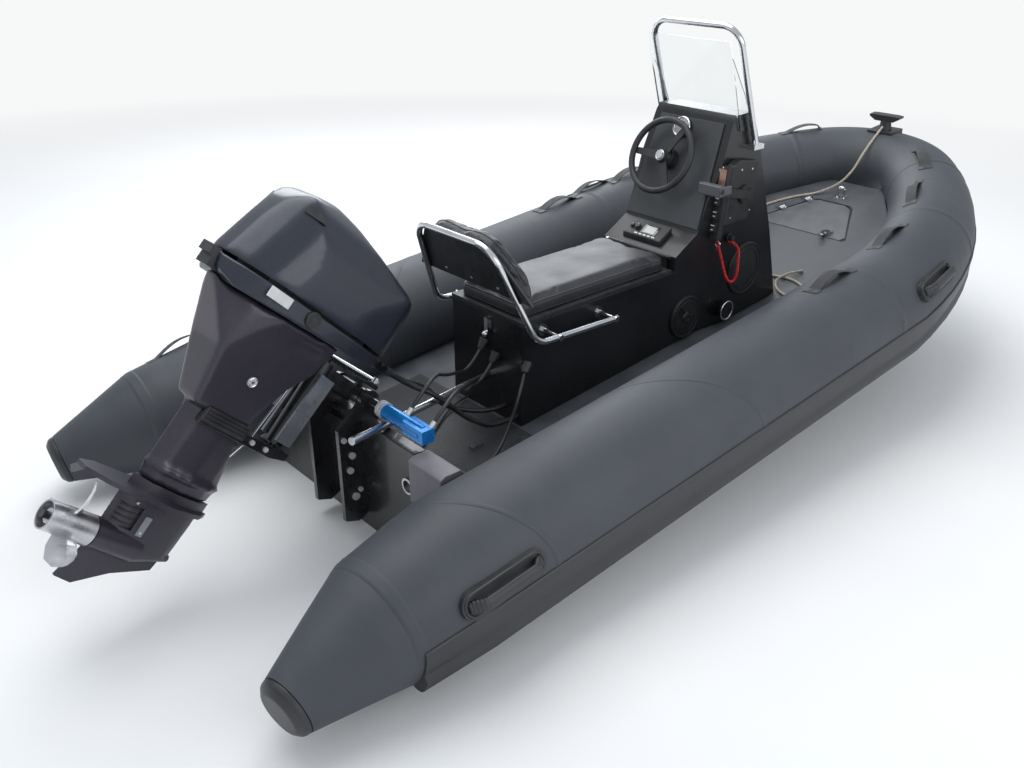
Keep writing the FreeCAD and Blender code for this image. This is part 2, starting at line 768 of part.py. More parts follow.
def make_controls(console):
    nodes = {}
    pod_rows = [(1762.0, 800.0), (1792.0, 1052.0), (1838.0, 1072.0), (1968.0, 1052.0),
                (1955.0, 880.0), (1925.0, 800.0)]
    pod = prism_y(pod_rows, -POD_Y, -180.0).cut(console)
    nodes["control_box"] = [largest(pod)]
    strip_rows = [(1729.0, 742.0), (1762.0, 742.0), (1762.0, 800.0), (1792.0, 1052.0),
                  (1762.0, 1052.0)]
    strip = prism_y(strip_rows, -POD_Y + 4.0, -196.0).cut(console)
    nodes["switch_strip"] = [largest(strip)]
    disc = rod(V(LEVER_X, -POD_Y, LEVER_Z), V(LEVER_X, -POD_Y - 12.0, LEVER_Z), LEVER_DISC_R)
    arm = prism_y([(LEVER_X + 20, LEVER_Z - 22), (LEVER_X + 20, LEVER_Z + 16), (GRIP_X - 15, GRIP_Z + 17),
                   (GRIP_X - 15, GRIP_Z - 17)], -POD_Y - 26.0, -POD_Y - 12.0)
    grip = prism_y([(GRIP_X - 14, GRIP_Z - 22), (GRIP_X - 14, GRIP_Z + 16), (GRIP_X - 6, GRIP_Z + 22),
                    (GRIP_X + 10, GRIP_Z + 22), (GRIP_X + 16, GRIP_Z + 14), (GRIP_X + 16, GRIP_Z - 22)],
                   -POD_Y - 26.0, -GRIP_END_Y)
    nodes["throttle_lever"] = [fused([disc, arm, grip])]
    small = rod(V(SMALL_HATCH[0], -SEAT_HALF, SMALL_HATCH[1]),
                V(SMALL_HATCH[0], -SEAT_HALF - 9.0, SMALL_HATCH[1]), SMALL_HATCH_R)
    knob = Part.makeCone(24.0, 18.0, 9.0, V(SMALL_HATCH[0], -SEAT_HALF - 9.0, SMALL_HATCH[1]),
                         V(0, -1, 0))
    large = rod(V(LARGE_HATCH[0], -CONSOLE_HALF, LARGE_HATCH[1]),
                V(LARGE_HATCH[0], -CONSOLE_HALF - 6.0, LARGE_HATCH[1]), LARGE_HATCH_R)
    cup = Part.makeCone(30.0, 44.0, 26.0, V(CUP_AT[0], -CONSOLE_HALF + 4.0, CUP_AT[1]), V(0, -1, 0))
    small_whole = fused([small, knob]).cut(console)
    nodes["side_hatches"] = [largest(small_whole), largest(large.cut(console)),
                             largest(cup.cut(console))]
    catch = box(SEAT_AFT_X - 16.0, SEAT_AFT_X, -26.0, -6.0, 560.0, 617.0)
    catch = fused([catch, box(SEAT_AFT_X - 5.0, SEAT_AFT_X, -36.0, 4.0, 572.0, 606.0)])
    ball = Part.makeSphere(13.0, V(SEAT_AFT_X - 20.0, -16.0, 551.0), V(-1, 0, 0))
    nodes["seat_fittings"] = [fused([catch, ball]), make_seat_pin()]
    boots = []
    for x, y, z, ahead in BOOT_ROWS:
        boot = Part.makeCone(BOOT_R, BOOT_TIP_R, BOOT_LONG, V(x, y, z), ahead)
        boots.append(largest(boot.cut(console)))
    nodes["hose_boots"] = boots
    return nodes


def make_seat_pin():
    px, pz = SEAT_PIN
    pin = rod(V(px, -SEAT_LEAF_HALF - 14.0, pz), V(px, SEAT_LEAF_HALF + 14.0, pz), SEAT_PIN_R)
    ears = []
    for y0 in (-SEAT_LEAF_HALF - 14.0, SEAT_LEAF_HALF + 4.0):
        ears.append(box(px - 7.0, SEAT_FWD_X, y0, y0 + 10.0, pz - 8.0, pz + 4.0))
    return fused([pin] + ears)


def make_seat():
    nodes = {}
    x0 = SEAT_AFT_X - 5.0
    x1 = SEAT_FWD_X - SEAT_FRONT_GAP
    z0 = SEAT_RIM_Z
    z1 = z0 + BOARD_THICK
    board = box(x0, x1, -SEAT_HALF, SEAT_HALF, z0, z1)
    px, pz = SEAT_PIN
    leaf = box(x1, x1 + 3.0, -SEAT_LEAF_HALF, SEAT_LEAF_HALF, z0, pz)
    barrel = rod(V(px, -SEAT_LEAF_HALF, pz), V(px, SEAT_LEAF_HALF, pz), SEAT_BARREL_R)
    bore = rod(V(px, -300.0, pz), V(px, 300.0, pz), SEAT_PIN_R + RUN_GAP)
    nodes["seat_board"] = [fused([board, leaf, barrel]).cut(bore)]
    nodes["seat_cushion"] = [box(x0, x1, -SEAT_HALF, SEAT_HALF, z1, z1 + CUSHION_THICK)]
    return nodes


def tilted(shape):
    turned = shape.copy()
    turned.rotate(PIVOT, V(0, 1, 0), REST_TILT)
    return turned


def run_rows(rows):
    return [(PIVOT.x + a, PIVOT.z + b) for a, b in rows]


def run_prism(rows, half):
    return prism_y(run_rows(rows), -half, half)


def run_plan(rows, b0, b1):
    return prism_z([(PIVOT.x + a, y) for a, y in rows], PIVOT.z + b0, PIVOT.z + b1)


def run_front(rows, a0, a1):
    return prism_x([(y, PIVOT.z + b) for y, b in rows], PIVOT.x + a0, PIVOT.x + a1)


def run_box(a0, a1, y0, y1, b0, b1):
    return box(PIVOT.x + a0, PIVOT.x + a1, y0, y1, PIVOT.z + b0, PIVOT.z + b1)


def run_point(a, y, b):
    return V(PIVOT.x + a, y, PIVOT.z + b)


def mirrored_rows(rows):
    return rows + [(a, -y) for a, y in reversed(rows) if y]


def cowl_plan(b0, b1):
    low = mirrored_rows([(a, y) for a, y, lean in COWL_PLAN])
    high = mirrored_rows([(a + lean, y) for a, y, lean in COWL_PLAN])
    wires = []
    for rows, b in ((low, b0), (high, b1)):
        points = [run_point(a, y, b) for a, y in rows]
        wires.append(Part.makePolygon(points + [points[0]]))
    return Part.makeLoft(wires, True, True)


def cowl_solid(inset):
    side = run_prism(COWL_SIDE, COWL_HALF)
    half_front = [(COWL_HALF, SEAM_B), (COWL_HALF, 240.0), (172.0, 330.0), (126.0, 408.0),
                  (66.0, 454.0), (24.0, 472.0)]
    front = half_front + [(-y, b) for y, b in reversed(half_front)]
    shape = side.common(run_front(front, -800.0, 60.0)).common(cowl_plan(SEAM_B, 500.0))
    if inset:
        middle = run_point(-370.0, 0.0, SEAM_B)
        grid = FreeCAD.Matrix()
        grid.move(V(0, 0, 0) - middle)
        grid.scale(1 - inset / 385.0, 1 - inset / COWL_HALF, 1 - inset / 340.0)
        grid.move(middle)
        shape = shape.transformGeometry(grid)
    return shape


def blade_section(radius, chord, thick, skew):
    # A thin flat lens across the blade, turned to its pitch.
    turn = math.radians(skew)
    pitch = math.atan(PROP_PITCH / (2 * math.pi * radius))
    points = []
    for along, over in ((-0.5, 0.0), (-0.2, 0.5), (0.2, 0.5), (0.5, 0.0), (0.2, -0.5), (-0.2, -0.5)):
        s = along * chord
        t = over * thick
        ahead = s * math.sin(pitch) + t * math.cos(pitch)
        around = s * math.cos(pitch) - t * math.sin(pitch)
        points.append(V(ahead, radius * math.sin(turn) + around * math.cos(turn),
                        radius * math.cos(turn) - around * math.sin(turn)))
    return Part.makePolygon(points + [points[0]])


def make_propeller():
    hub = Part.makeCone(PROP_HUB_R, 46.0, 150.0, V(75.0, 0, 0), V(-1, 0, 0))
    outlet = Part.makeCone(40.0, 41.0, 60.0, V(-20.0, 0, 0), V(-1, 0, 0))
    core = rod(V(75.0, 0, 0), V(-62.0, 0, 0), 24.0)
    hub = hub.cut(outlet)
    blade = Part.makeLoft([blade_section(*row) for row in PROP_ROWS], True, True)
    blades = []
    for k in range(3):
        turned = blade.copy()
        turned.rotate(V(0, 0, 0), V(1, 0, 0), PROP_REST + 120 * k)
        blades.append(turned)
    whole = fused([hub, core] + blades)
    whole = whole.cut(rod(V(100.0, 0, 0), V(-100.0, 0, 0), PROP_SHAFT_R + RUN_GAP))
    whole.translate(run_point(PROP_A, 0, PROP_B))
    return whole


def casing_front_half(b):
    # Half width of the casing's front profile at a height.
    (y0, b0), (y1, b1) = CASING_FRONT[0], CASING_FRONT[1]
    if b < b1:
        (y0, b0), (y1, b1) = CASING_FRONT[1], CASING_FRONT[2]
    return y0 + (y1 - y0) * (b - b0) / (b1 - b0)


def make_engine():
    nodes = {}
    nodes["cowl_top"] = [cowl_solid(0.0).cut(cowl_solid(12.0))]
    pan = run_prism([(-750.0, SEAM_B), (-734.0, 92.0), (-690.0, 66.0), (-250.0, 84.0),
                     (-18.0, 104.0), (-8.0, SEAM_B)], COWL_HALF)
    pan_plan = mirrored_rows([(a, y) for a, y, lean in COWL_PLAN])
    pan = pan.common(run_plan(pan_plan, 60.0, SEAM_B))
    nodes["cowl_pan"] = [pan]
    nodes["powerhead"] = [run_box(-600.0, -160.0, -110.0, 110.0, SEAM_B, 318.0)]
    casing_side = [(-726.0, 92.0), (-690.0, 30.0), (-612.0, -96.0), (-552.0, -292.0),
                   (-335.0, -292.0), (-310.0, -120.0), (-266.0, -30.0), (-262.0, 84.0)]
    casing_front = [(-y, b) for y, b in CASING_FRONT] + [(y, b) for y, b in reversed(CASING_FRONT)]
    casing_plan = mirrored_rows([(-726.0, 18.0), (-690.0, 54.0), (-600.0, 110.0), (-500.0, 146.0),
                                 (-420.0, 158.0), (-262.0, 158.0)])
    casing = run_prism(casing_side, 160.0).common(run_front(casing_front, -800.0, -200.0))
    casing = casing.common(run_plan(casing_plan, -300.0, 100.0))
    leg_plan = mirrored_rows([(-547.0, 0.0), (-500.0, 36.0), (-400.0, 50.0), (-320.0, 38.0),
                              (-262.0, 0.0)])
    leg = run_plan(leg_plan, -566.0, -292.0)
    leg = leg.common(run_prism([(-560.0, -290.0), (-335.0, -290.0), (-262.0, -480.0),
                                (-262.0, -566.0), (-560.0, -566.0)], 60.0))
    ledge_plan = mirrored_rows([(-556.0, 0.0), (-500.0, 52.0), (-400.0, 68.0), (-310.0, 54.0),
                                (-244.0, 0.0)])
    ledge = run_plan(ledge_plan, -522.0, -506.0)
    casing = casing.cut(pan)
    for rows in CASING_POCKETS:
        for side in (-1, 1):
            pocket = run_prism(rows, 200.0)
            lean = casing_front_half(rows[0][1]) - POCKET_DEEP
            keep = run_box(-800.0, 0.0, min(side * lean, side * 300.0), max(side * lean, side * 300.0),
                           -300.0, 100.0)
            casing = casing.cut(pocket.common(keep))
    casing = fused([casing, leg, ledge])
    nodes["midsection"] = [casing]
    collar_plan = mirrored_rows([(-552.0, 0.0), (-500.0, 40.0), (-400.0, 56.0), (-320.0, 42.0),
                                 (-256.0, 0.0)])
    collar = run_plan(collar_plan, -600.0, -566.0)
    plate = run_plan(mirrored_rows([(-711.0, 30.0), (-640.0, 78.0), (-420.0, 104.0),
                                    (-300.0, 62.0), (-242.0, 0.0)]), -612.0, -598.0)
    strut_plan = mirrored_rows([(-560.0, 0.0), (-500.0, 30.0), (-400.0, 42.0), (-320.0, 30.0),
                                (-270.0, 0.0)])
    strut = run_plan(strut_plan, PROP_B, -600.0)
    strut = strut.common(run_prism([(-600.0, -590.0), (-262.0, -590.0), (-285.0, PROP_B),
                                    (-600.0, PROP_B)], 60.0))
    bullet = rod(run_point(GEAR_AFT_A, 0, PROP_B), run_point(-405.0, 0, PROP_B), GEAR_R)
    nose = Part.makeCone(GEAR_R, 12.0, 130.0, run_point(-405.0, 0, PROP_B), V(1, 0, 0))
    skeg = run_prism([(-545.0, PROP_B), (-300.0, PROP_B), (-309.0, -830.0), (-430.0, -880.0),
                      (-528.0, -944.0), (-587.0, -938.0)], 7.0)
    shaft = rod(run_point(-560.0, 0, PROP_B), run_point(PROP_A - 84.0, 0, PROP_B), PROP_SHAFT_R)
    inlet = run_box(-545.0, -468.0, -60.0, 60.0, -728.0, -650.0)
    strut_core = run_box(-600.0, -400.0, -22.0, 22.0, -800.0, -600.0)
    inlet = inlet.cut(strut_core)
    lower_unit = fused([collar, plate, strut, bullet, nose, skeg, shaft]).cut(inlet)
    nodes["gearcase"] = [lower_unit]
    slats = []
    for k in range(4):
        b = -718.0 + 18.0 * k
        slat = run_box(-545.0, -468.0, -25.0, 25.0, b, b + 6.0)
        slats.extend(slat.cut(strut_core).Solids)
    yoke_side = [(-500.0, -300.0), (-500.0, -336.0), (-200.0, -336.0), (-135.0, -322.0),
                 (-135.0, -298.0)]
    yoke = run_prism(yoke_side, 64.0).cut(casing)
    nodes["lower_mount"] = [largest(yoke)]
    arm_plan = [(-310.0, -52.0), (-190.0, -52.0), (-110.0, -22.0), (ARM_A + 16, -16.0),
                (ARM_A + 16, 16.0), (-110.0, 22.0), (-190.0, 52.0), (-310.0, 52.0)]
    arm = run_plan(arm_plan, ARM_B - ARM_HALF, ARM_B + ARM_HALF)
    steer_shaft = rod(run_point(STEER_A, 0, -298.0), run_point(STEER_A, 0, ARM_B), STEER_SHAFT_R)
    arm = arm.cut(casing)
    nodes["steering_arm"] = [fused([largest(arm), steer_shaft])]
    nodes["propeller"] = [make_propeller()]
    lugs = rod(run_point(0, -72, 0), run_point(0, 72, 0), 32.0)
    column = rod(run_point(STEER_A, 0, -290.0), run_point(STEER_A, 0, 34.0), 33.0)
    web = run_box(STEER_A, 0.0, -26.0, 26.0, -32.0, 24.0)
    swivel = fused([lugs, column, web])
    swivel = swivel.cut(rod(run_point(0, -80, 0), run_point(0, 80, 0), TILT_TUBE_R + RUN_GAP))
    swivel = swivel.cut(rod(run_point(STEER_A, 0, -300.0), run_point(STEER_A, 0, 60.0),
                            STEER_SHAFT_R + RUN_GAP))
    nodes["swivel_bracket"] = [swivel]
    cheek_rows = [(-128.0, -14.0), (-192.0, -10.0), (-205.0, -276.0), (-140.0, -276.0)]
    cheek = run_prism(cheek_rows, 52.0).cut(run_box(-300.0, 0.0, -40.0, 40.0, -300.0, 0.0))
    rib = run_box(-186.0, -150.0, -40.0, 40.0, -200.0, -180.0)
    nodes["swivel_cheeks"] = [fused([cheek, rib]).cut(column).cut(web)]
    px, py, pz = ARM_A, LINK_Y, ARM_B
    ram = rod(run_point(0, -30, 0), run_point(0, LINK_Y + 6, 0), TILT_BORE_R - RUN_GAP)
    crank = run_prism([(-12.0, -12.0), (14.0, -12.0), (px + 12.0, pz - 12.0), (px + 12.0, pz + 12.0),
                       (px - 12.0, pz + 12.0), (-12.0, 14.0)], 7.0)
    crank.translate(V(0, LINK_Y, 0))
    bar = rod(run_point(px, -14.0, pz + 20.0), run_point(px, LINK_Y, pz + 20.0), 7.0)
    eye = rod(run_point(px, 0.0, pz + ARM_HALF + LINK_GAP), run_point(px, 0.0, pz + 31.0), 12.0)
    riser = run_box(px - 9.0, px + 9.0, LINK_Y - 7.0, LINK_Y + 7.0, pz, pz + 27.0)
    nodes["steering_link"] = [fused([ram, crank, riser, bar, eye])]
    nodes["shift_rod"] = make_shift_rod(casing, nodes["lower_mount"][0], nodes["steering_arm"][0])
    nodes["engine_trim"] = make_engine_trim(pan, casing) + slats
    bolts = []
    for a, b, y0, y1, radius in ENGINE_BOLTS:
        for side in (-1, 1):
            bolts.append(rod(run_point(a, side * y0, b), run_point(a, side * y1, b), radius))
    solid_parts = fused([casing, nodes["lower_mount"][0]])
    nodes["engine_bolts"] = [largest(bolt.cut(solid_parts)) for bolt in bolts]
    return {name: [tilted(s) for s in shapes] for name, shapes in nodes.items()}


def make_shift_rod(casing, mount, arm):
    upper = rod(run_point(-252.0, -34.0, ARM_B), run_point(-282.0, -34.0, -310.0), 4.0)
    lower = rod(run_point(-290.0, -34.0, -330.0), run_point(-312.0, -34.0, -392.0), 4.0)
    return [largest(upper.cut(mount).cut(arm).cut(casing)), largest(lower.cut(mount).cut(casing))]


def make_engine_trim(pan, casing):
    boss = []
    for side in (-1, 1):
        boss.append(rod(run_point(-449.0, side * (COWL_HALF - 6.0), 112.0),
                        run_point(-449.0, side * (COWL_HALF + 7.0), 112.0), 27.0))
    latch = run_box(-772.0, -690.0, -34.0, 34.0, 78.0, 142.0)
    latch = latch.cut(run_box(-800.0, -758.0, -40.0, 40.0, 70.0, 112.0))
    vent = run_prism([(-640.0, 372.0), (-640.0, 400.0), (-566.0, 392.0), (-566.0, 372.0)], 166.0)
    vent = vent.common(cowl_solid(-5.0)).cut(run_box(-700.0, -500.0, -110.0, 110.0, 300.0, 500.0))
    glands = [rod(run_point(-20.0, y, GLAND_B), run_point(GLAND_A, y, GLAND_B), 15.0) for y in GLAND_Y]
    pieces = boss + [latch] + list(vent.Solids) + glands
    return [largest(piece.cut(pan).cut(casing).cut(cowl_solid(0.0))) for piece in pieces]


def make_clamp():
    px, pz = PIVOT.x, PIVOT.z
    side = [(-95.0, 60.0), (-95.0, 425.0), (px - NOSE_R, pz + 6.0), (px + NOSE_R, pz),
            (px + 30.0, 440.0), (px + 30.0, 360.0), (TRANSOM_THICK, 360.0),
            (TRANSOM_THICK, TRANSOM_TOP), (0.0, TRANSOM_TOP), (0.0, 60.0), (-40.0, 40.0)]
    plate = fused([prism_y(side, 84.0, 104.0), rod(V(px, 84.0, pz), V(px, 104.0, pz), NOSE_R)])
    plate = plate.cut(box(0.0, TRANSOM_THICK, 0.0, 200.0, -100.0, TRANSOM_TOP))
    tilt_tube = rod(V(px, -190, pz), V(px, 190, pz), TILT_TUBE_R)
    foot = box(-14.0, 0.0, -104.0, 104.0, 80.0, 400.0)
    bracket = fused(both_sides(plate) + [tilt_tube, foot])
    bolts = []
    for x, z, radius in CLAMP_BOLTS:
        for side_y in (-1, 1):
            bolts.append(rod(V(x, side_y * 104.0, z), V(x, side_y * 113.0, z), radius))
    bore = rod(V(px, -200, pz), V(px, 200, pz), TILT_BORE_R)
    return bracket.cut(bore), bolts


def fitting_point(y, beyond):
    # The outer end of a hose fitting on the steering cylinder, and points beyond it.
    long = CYLINDER_R + FITTING_LONG + beyond
    return V(PIVOT.x + long * math.sqrt(0.5), y, PIVOT.z + long * math.sqrt(0.5))


def boot_point(k, beyond):
    x, y, z, ahead = BOOT_ROWS[k]
    return V(x, y, z) + V(ahead).normalize() * (BOOT_LONG + beyond)


def gland_point(k, beyond):
    at = Part.Vertex(run_point(GLAND_A + beyond, GLAND_Y[k], GLAND_B))
    return tilted(at).Point


def make_cylinder():
    px, pz = PIVOT.x, PIVOT.z
    body = rod(V(px, -412.0, pz), V(px, -206.0, pz), CYLINDER_R)
    block = box(px - 25.0, px + 25.0, -438.0, -330.0, pz - 24.0, pz + 24.0)
    body = fused([body, block])
    body = body.cut(rod(V(px, -320.0, pz), V(px, -200.0, pz), TILT_BORE_R))
    clamps = []
    for y0, y1, radius in ((-206.0, -196.0, 30.0), (-196.0, -186.0, 25.0), (-186.0, -176.0, 30.0)):
        clamps.append(rod(V(px, y0, pz), V(px, y1, pz), radius))
    clamps = fused(clamps).cut(rod(V(px, -210.0, pz), V(px, -170.0, pz), TILT_BORE_R))
    clamps = clamps.cut(rod(V(px, -190.0, pz), V(px, 190.0, pz), TILT_TUBE_R))
    fittings = []
    for y in FITTING_Y:
        fittings.append(largest(rod(V(px, y, pz), fitting_point(y, 0.0), 8.5).cut(body)))
    return body, [clamps] + fittings


def make_hoop(console):
    foot = V(CONSOLE_NOSE[0] - HOOP_FOOT_IN, HOOP_HALF[0], HOOP_FOOT_Z)
    corner = V(foot.x - HOOP_LEAN, HOOP_HALF[1], HOOP_TOP_Z)
    points = [foot, corner, V(corner.x, -corner.y, corner.z), V(foot.x, -foot.y, foot.z)]
    hoop = bent_tube(points, HOOP_BEND, HOOP_R, RAIL_SIDES)
    pads = []
    for side in (-1, 1):
        y0 = side * (foot.y + 20.0)
        pad = box(foot.x - 34.0, foot.x + 34.0, min(y0, side * 180.0), max(y0, side * 180.0),
                  foot.z - 20.0, foot.z)
        pads.append(largest(pad.cut(console)))
    return fused([hoop] + pads)


def make_windscreen(console):
    aft = V(CONSOLE_TOP_AFT[0] + SCREEN_FOOT[0], 0, CONSOLE_TOP_AFT[1] + SCREEN_FOOT[1])
    top = aft + V(SCREEN_RISE[0], 0, SCREEN_RISE[1])
    half = SCREEN_HALF
    panel = prism_y([(aft.x, aft.z), (top.x, top.z), (top.x + 5.0, top.z), (aft.x + 5.5, aft.z)],
                    -half, half)
    wings = []
    for side in (-1, 1):
        y0 = min(side * half, side * (half + 5.0))
        wings.append(prism_y(SCREEN_WING, y0, y0 + 5.0))
    return largest(fused([panel] + wings).cut(console))


def rest_point(across, up, ahead):
    # In the plane of the backrest: across to port, up its slope and ahead of it.
    low = V(*REST_POINTS[1])
    high = V(*REST_POINTS[2])
    slope = V(high.x - low.x, 0, high.z - low.z).normalize()
    front = V(slope.z, 0, -slope.x)
    return V(low.x, 0, low.z) + V(0, across, 0) + slope * up + front * ahead


def make_backrest():
    rows = [V(*row) for row in REST_POINTS]
    points = rows + [V(p.x, -p.y, p.z) for p in reversed(rows)]
    frame = bent_tube(points, (REST_BEND, REST_TOP_BEND, REST_TOP_BEND, REST_BEND), REST_TUBE_R,
                      RAIL_SIDES)
    feet = []
    for x, z in REST_FIXINGS:
        for side in (-1, 1):
            feet.append(rod(V(x, side * SEAT_HALF, z), V(x, side * (-REST_POINTS[0][1] + 15.0), z), 12.0))
            feet.append(rod(V(x, side * SEAT_HALF, z), V(x, side * (SEAT_HALF + 5.0), z), 24.0))
    frame = fused([frame] + feet)
    long = (V(0, 0, REST_POINTS[2][2]) - V(REST_POINTS[1][0] - REST_POINTS[2][0], 0,
                                            REST_POINTS[1][2])).Length
    up1 = long - 2.0
    low, high = REST_BOARD_LOW, up1
    wide = -REST_POINTS[1][1] + (REST_POINTS[1][1] - REST_POINTS[2][1]) * -1 * low / long
    narrow = -REST_POINTS[2][1]
    outline = [(wide - 6.0, low), (narrow + 26.0, high - 92.0), (narrow - 26.0, high - 22.0),
               (narrow - 96.0, high)]
    outline = outline + [(-y, up) for y, up in reversed(outline)]
    ahead = REST_TUBE_R
    direction = rest_point(0, 0, 1.0) - rest_point(0, 0, 0.0)
    board = face_of([rest_point(y, up, ahead) for y, up in outline])
    board = board.extrude(direction * REST_BOARD_THICK)
    pad_rows = [(wide - 22.0, low + 6.0), (narrow + 6.0, high - 92.0), (narrow - 40.0, high - 18.0),
                (narrow - 100.0, high + 8.0)]
    pad_rows = pad_rows + [(-y, up) for y, up in reversed(pad_rows)]
    pad = face_of([rest_point(y, up, ahead + REST_BOARD_THICK) for y, up in pad_rows])
    pad = pad.extrude(direction * REST_PAD_THICK)
    back = ahead + REST_BOARD_THICK
    wedge = [(0.0, PAD_FOOT_THICK), (PAD_FOOT_UP, REST_PAD_THICK), (PAD_FOOT_UP, 2 * REST_PAD_THICK),
             (0.0, 2 * REST_PAD_THICK)]
    cut = face_of([rest_point(-400.0, low + 5.0 + up, back + out) for up, out in wedge])
    pad = pad.cut(cut.extrude(V(0, 800.0, 0)))
    return frame, board, pad


def pill(long, half, z0, z1):
    # A flat plate with many-sided round ends, along X about the origin.
    rows = []
    for k in range(18):
        turn = math.radians(20.0 * (k % 9) + (-80.0 if k < 9 else 100.0))
        reach = (long / 2 - half) * (1 if k < 9 else -1)
        rows.append((reach + half * math.cos(turn), half * math.sin(turn)))
    return prism_z(rows, z0, z1)


def make_handles(tubes):
    handles = []
    for x, lift in ((HANDLE_AFT_X, 17.0), (None, 31.0)):
        if x is None:
            centre, ahead, radius = tube_station(HANDLE_TURN)
        else:
            centre = V(x, TUBE_Y, tube_height(x))
            ahead = V(1, 0.02, 0.119).normalize()
            radius = TUBE_R
        out = V(-ahead.y, ahead.x, 0).normalize()
        a = math.radians(lift)
        normal = out * math.cos(a) + V(0, 0, math.sin(a))
        plate = pill(HANDLE_LONG, HANDLE_HALF, -34.0, 6.0)
        rim = pill(HANDLE_LONG - 26.0, HANDLE_HALF - 13.0, 6.0, 11.0)
        plate = fused([plate, rim.cut(pill(HANDLE_LONG - 46.0, HANDLE_HALF - 23.0, 6.0, 12.0))])
        bow = prism_y([(-138.0, 4.0), (-130.0, 22.0), (-108.0, 46.0), (108.0, 46.0), (130.0, 22.0),
                       (138.0, 4.0), (100.0, 4.0), (86.0, 30.0), (-86.0, 30.0), (-100.0, 4.0)],
                      -17.0, 17.0)
        handle = placed(fused([plate, bow]), centre + normal * radius, ahead, normal)
        handle = largest(handle.cut(tubes))
        handles.extend(both_sides(handle))
    return handles


def make_straps(tubes):
    straps = []
    for x, turn, lift, side in STRAP_ROWS:
        if turn:
            centre, ahead, radius = tube_station(turn)
        else:
            centre = V(x, TUBE_Y, tube_height(x))
            ahead = V(1, 0, TUBE_RISE).normalize()
            radius = TUBE_R
        out = V(-ahead.y, ahead.x, 0).normalize()
        a = math.radians(lift)
        normal = out * math.cos(a) + V(0, 0, math.sin(a))
        h = STRAP_LONG / 2
        band = prism_y([(-h - 40, -20.0), (-h - 40, 3.0), (-h, 3.0), (-h * 0.5, 30.0), (h * 0.5, 30.0),
                        (h, 3.0), (h + 40, 3.0), (h + 40, -20.0), (h - 4, -20.0), (h - 14, 3.0),
                        (h * 0.5 - 6, 26.5), (-h * 0.5 + 6, 26.5), (-h + 14, 3.0), (-h + 4, -20.0)],
                       -STRAP_WIDE / 2, STRAP_WIDE / 2)
        strap = placed(band, centre + normal * radius, ahead, normal).cut(tubes)
        if side < 0:
            strap = mirrored(strap)
        straps.append(strap)
    return straps


def make_bitt(tubes):
    at, ahead, radius = tube_station(86.0)
    at = V(at.x, 0, at.z)
    base = box(-60.0, 60.0, -70.0, 70.0, -40.0, 8.0)
    post = Part.makeCone(34.0, 26.0, 52.0, V(0, 0, 6))
    horn = prism_x([(-86.0, 76.0), (-86.0, 86.0), (-60.0, 88.0), (60.0, 88.0), (86.0, 86.0),
                    (86.0, 76.0), (52.0, 56.0), (-52.0, 56.0)], -24.0, 24.0)
    whole = fused([base, post, horn])
    whole = placed(whole, at + V(0, 0, radius), V(1, 0, 0.1), V(-0.1, 0, 1))
    return largest(whole.cut(tubes))


def hinge_frame():
    # The hatch hinge line: a point over the aft end of the port edge, and its direction.
    aft = V(HATCH_AFT_X, HATCH_AFT_HALF, deck_height(HATCH_AFT_X))
    fwd = V(HATCH_FWD_X, HATCH_FWD_HALF, deck_height(HATCH_FWD_X))
    along = (fwd - aft).normalize()
    up = V(-BOW_DECK_RISE, 0, 1).normalize()
    out = up.cross(along)
    return aft + out * HINGE_OUT + up * HINGE_UP, along, out, up, (fwd - aft).Length


def make_hatch_hinges():
    at, along, out, up, long = hinge_frame()
    lid_side = []
    deck_side = []
    for part in HINGE_AT:
        mid = at + along * (long * part)
        barrel = rod(V(-14, 0, 0), V(14, 0, 0), 6.5)
        leaf = box(-14.0, 14.0, -38.0, -2.0, -HINGE_UP, -HINGE_UP + 9.0)
        knuckle = fused([barrel, leaf]).cut(rod(V(-40, 0, 0), V(40, 0, 0), HINGE_PIN_R + RUN_GAP))
        pin = rod(V(-26, 0, 0), V(26, 0, 0), HINGE_PIN_R)
        ears = [box(15.0, 26.0, -6.5, 6.5, -HINGE_UP + 2.0, 6.5),
                box(-26.0, -15.0, -6.5, 6.5, -HINGE_UP + 2.0, 6.5)]
        foot = box(-26.0, 26.0, 3.0, 34.0, -HINGE_UP, -HINGE_UP + 3.0)
        # the pieces' Y runs outboard, so the lid's leaf lies on the minus side
        lid_side.append(placed(knuckle, mid, along, up))
        deck_side.append(placed(fused([pin, foot] + ears), mid, along, up))
    return lid_side, deck_side


def make_hatch_latch():
    x = HATCH_AFT_X
    z = deck_height(x)
    base = box(x + 4.0, x + 52.0, -172.0, -128.0, z - 4.0, z + 20.0)
    cover = prism_z(hatch_rows(0.0), -200.0, 1000.0).common(deck_slab(30.0, 30.0))
    base = base.common(cover)
    barrel = rod(V(x + 14.0, -150.0, z + 8.0), V(x - 22.0, -150.0, z + 14.0), 9.0)
    key = box(x - 46.0, x - 20.0, -164.0, -136.0, z + 12.0, z + 16.0)
    return fused([base, barrel.cut(prism_z(hatch_rows(0.0), 0.0, 1000.0).common(deck_slab(0.0, 40.0))), key])


def make_knees(tubes):
    knee = prism_y([(-24.0, 268.0), (-24.0, 424.0), (-6.0, TRANSOM_TOP), (TRANSOM_THICK + 6.0, TRANSOM_TOP),
                    (196.0, 292.0), (196.0, 250.0)], KNEE_Y, TRANSOM_HALF + 20.0)
    return largest(knee.cut(tubes))


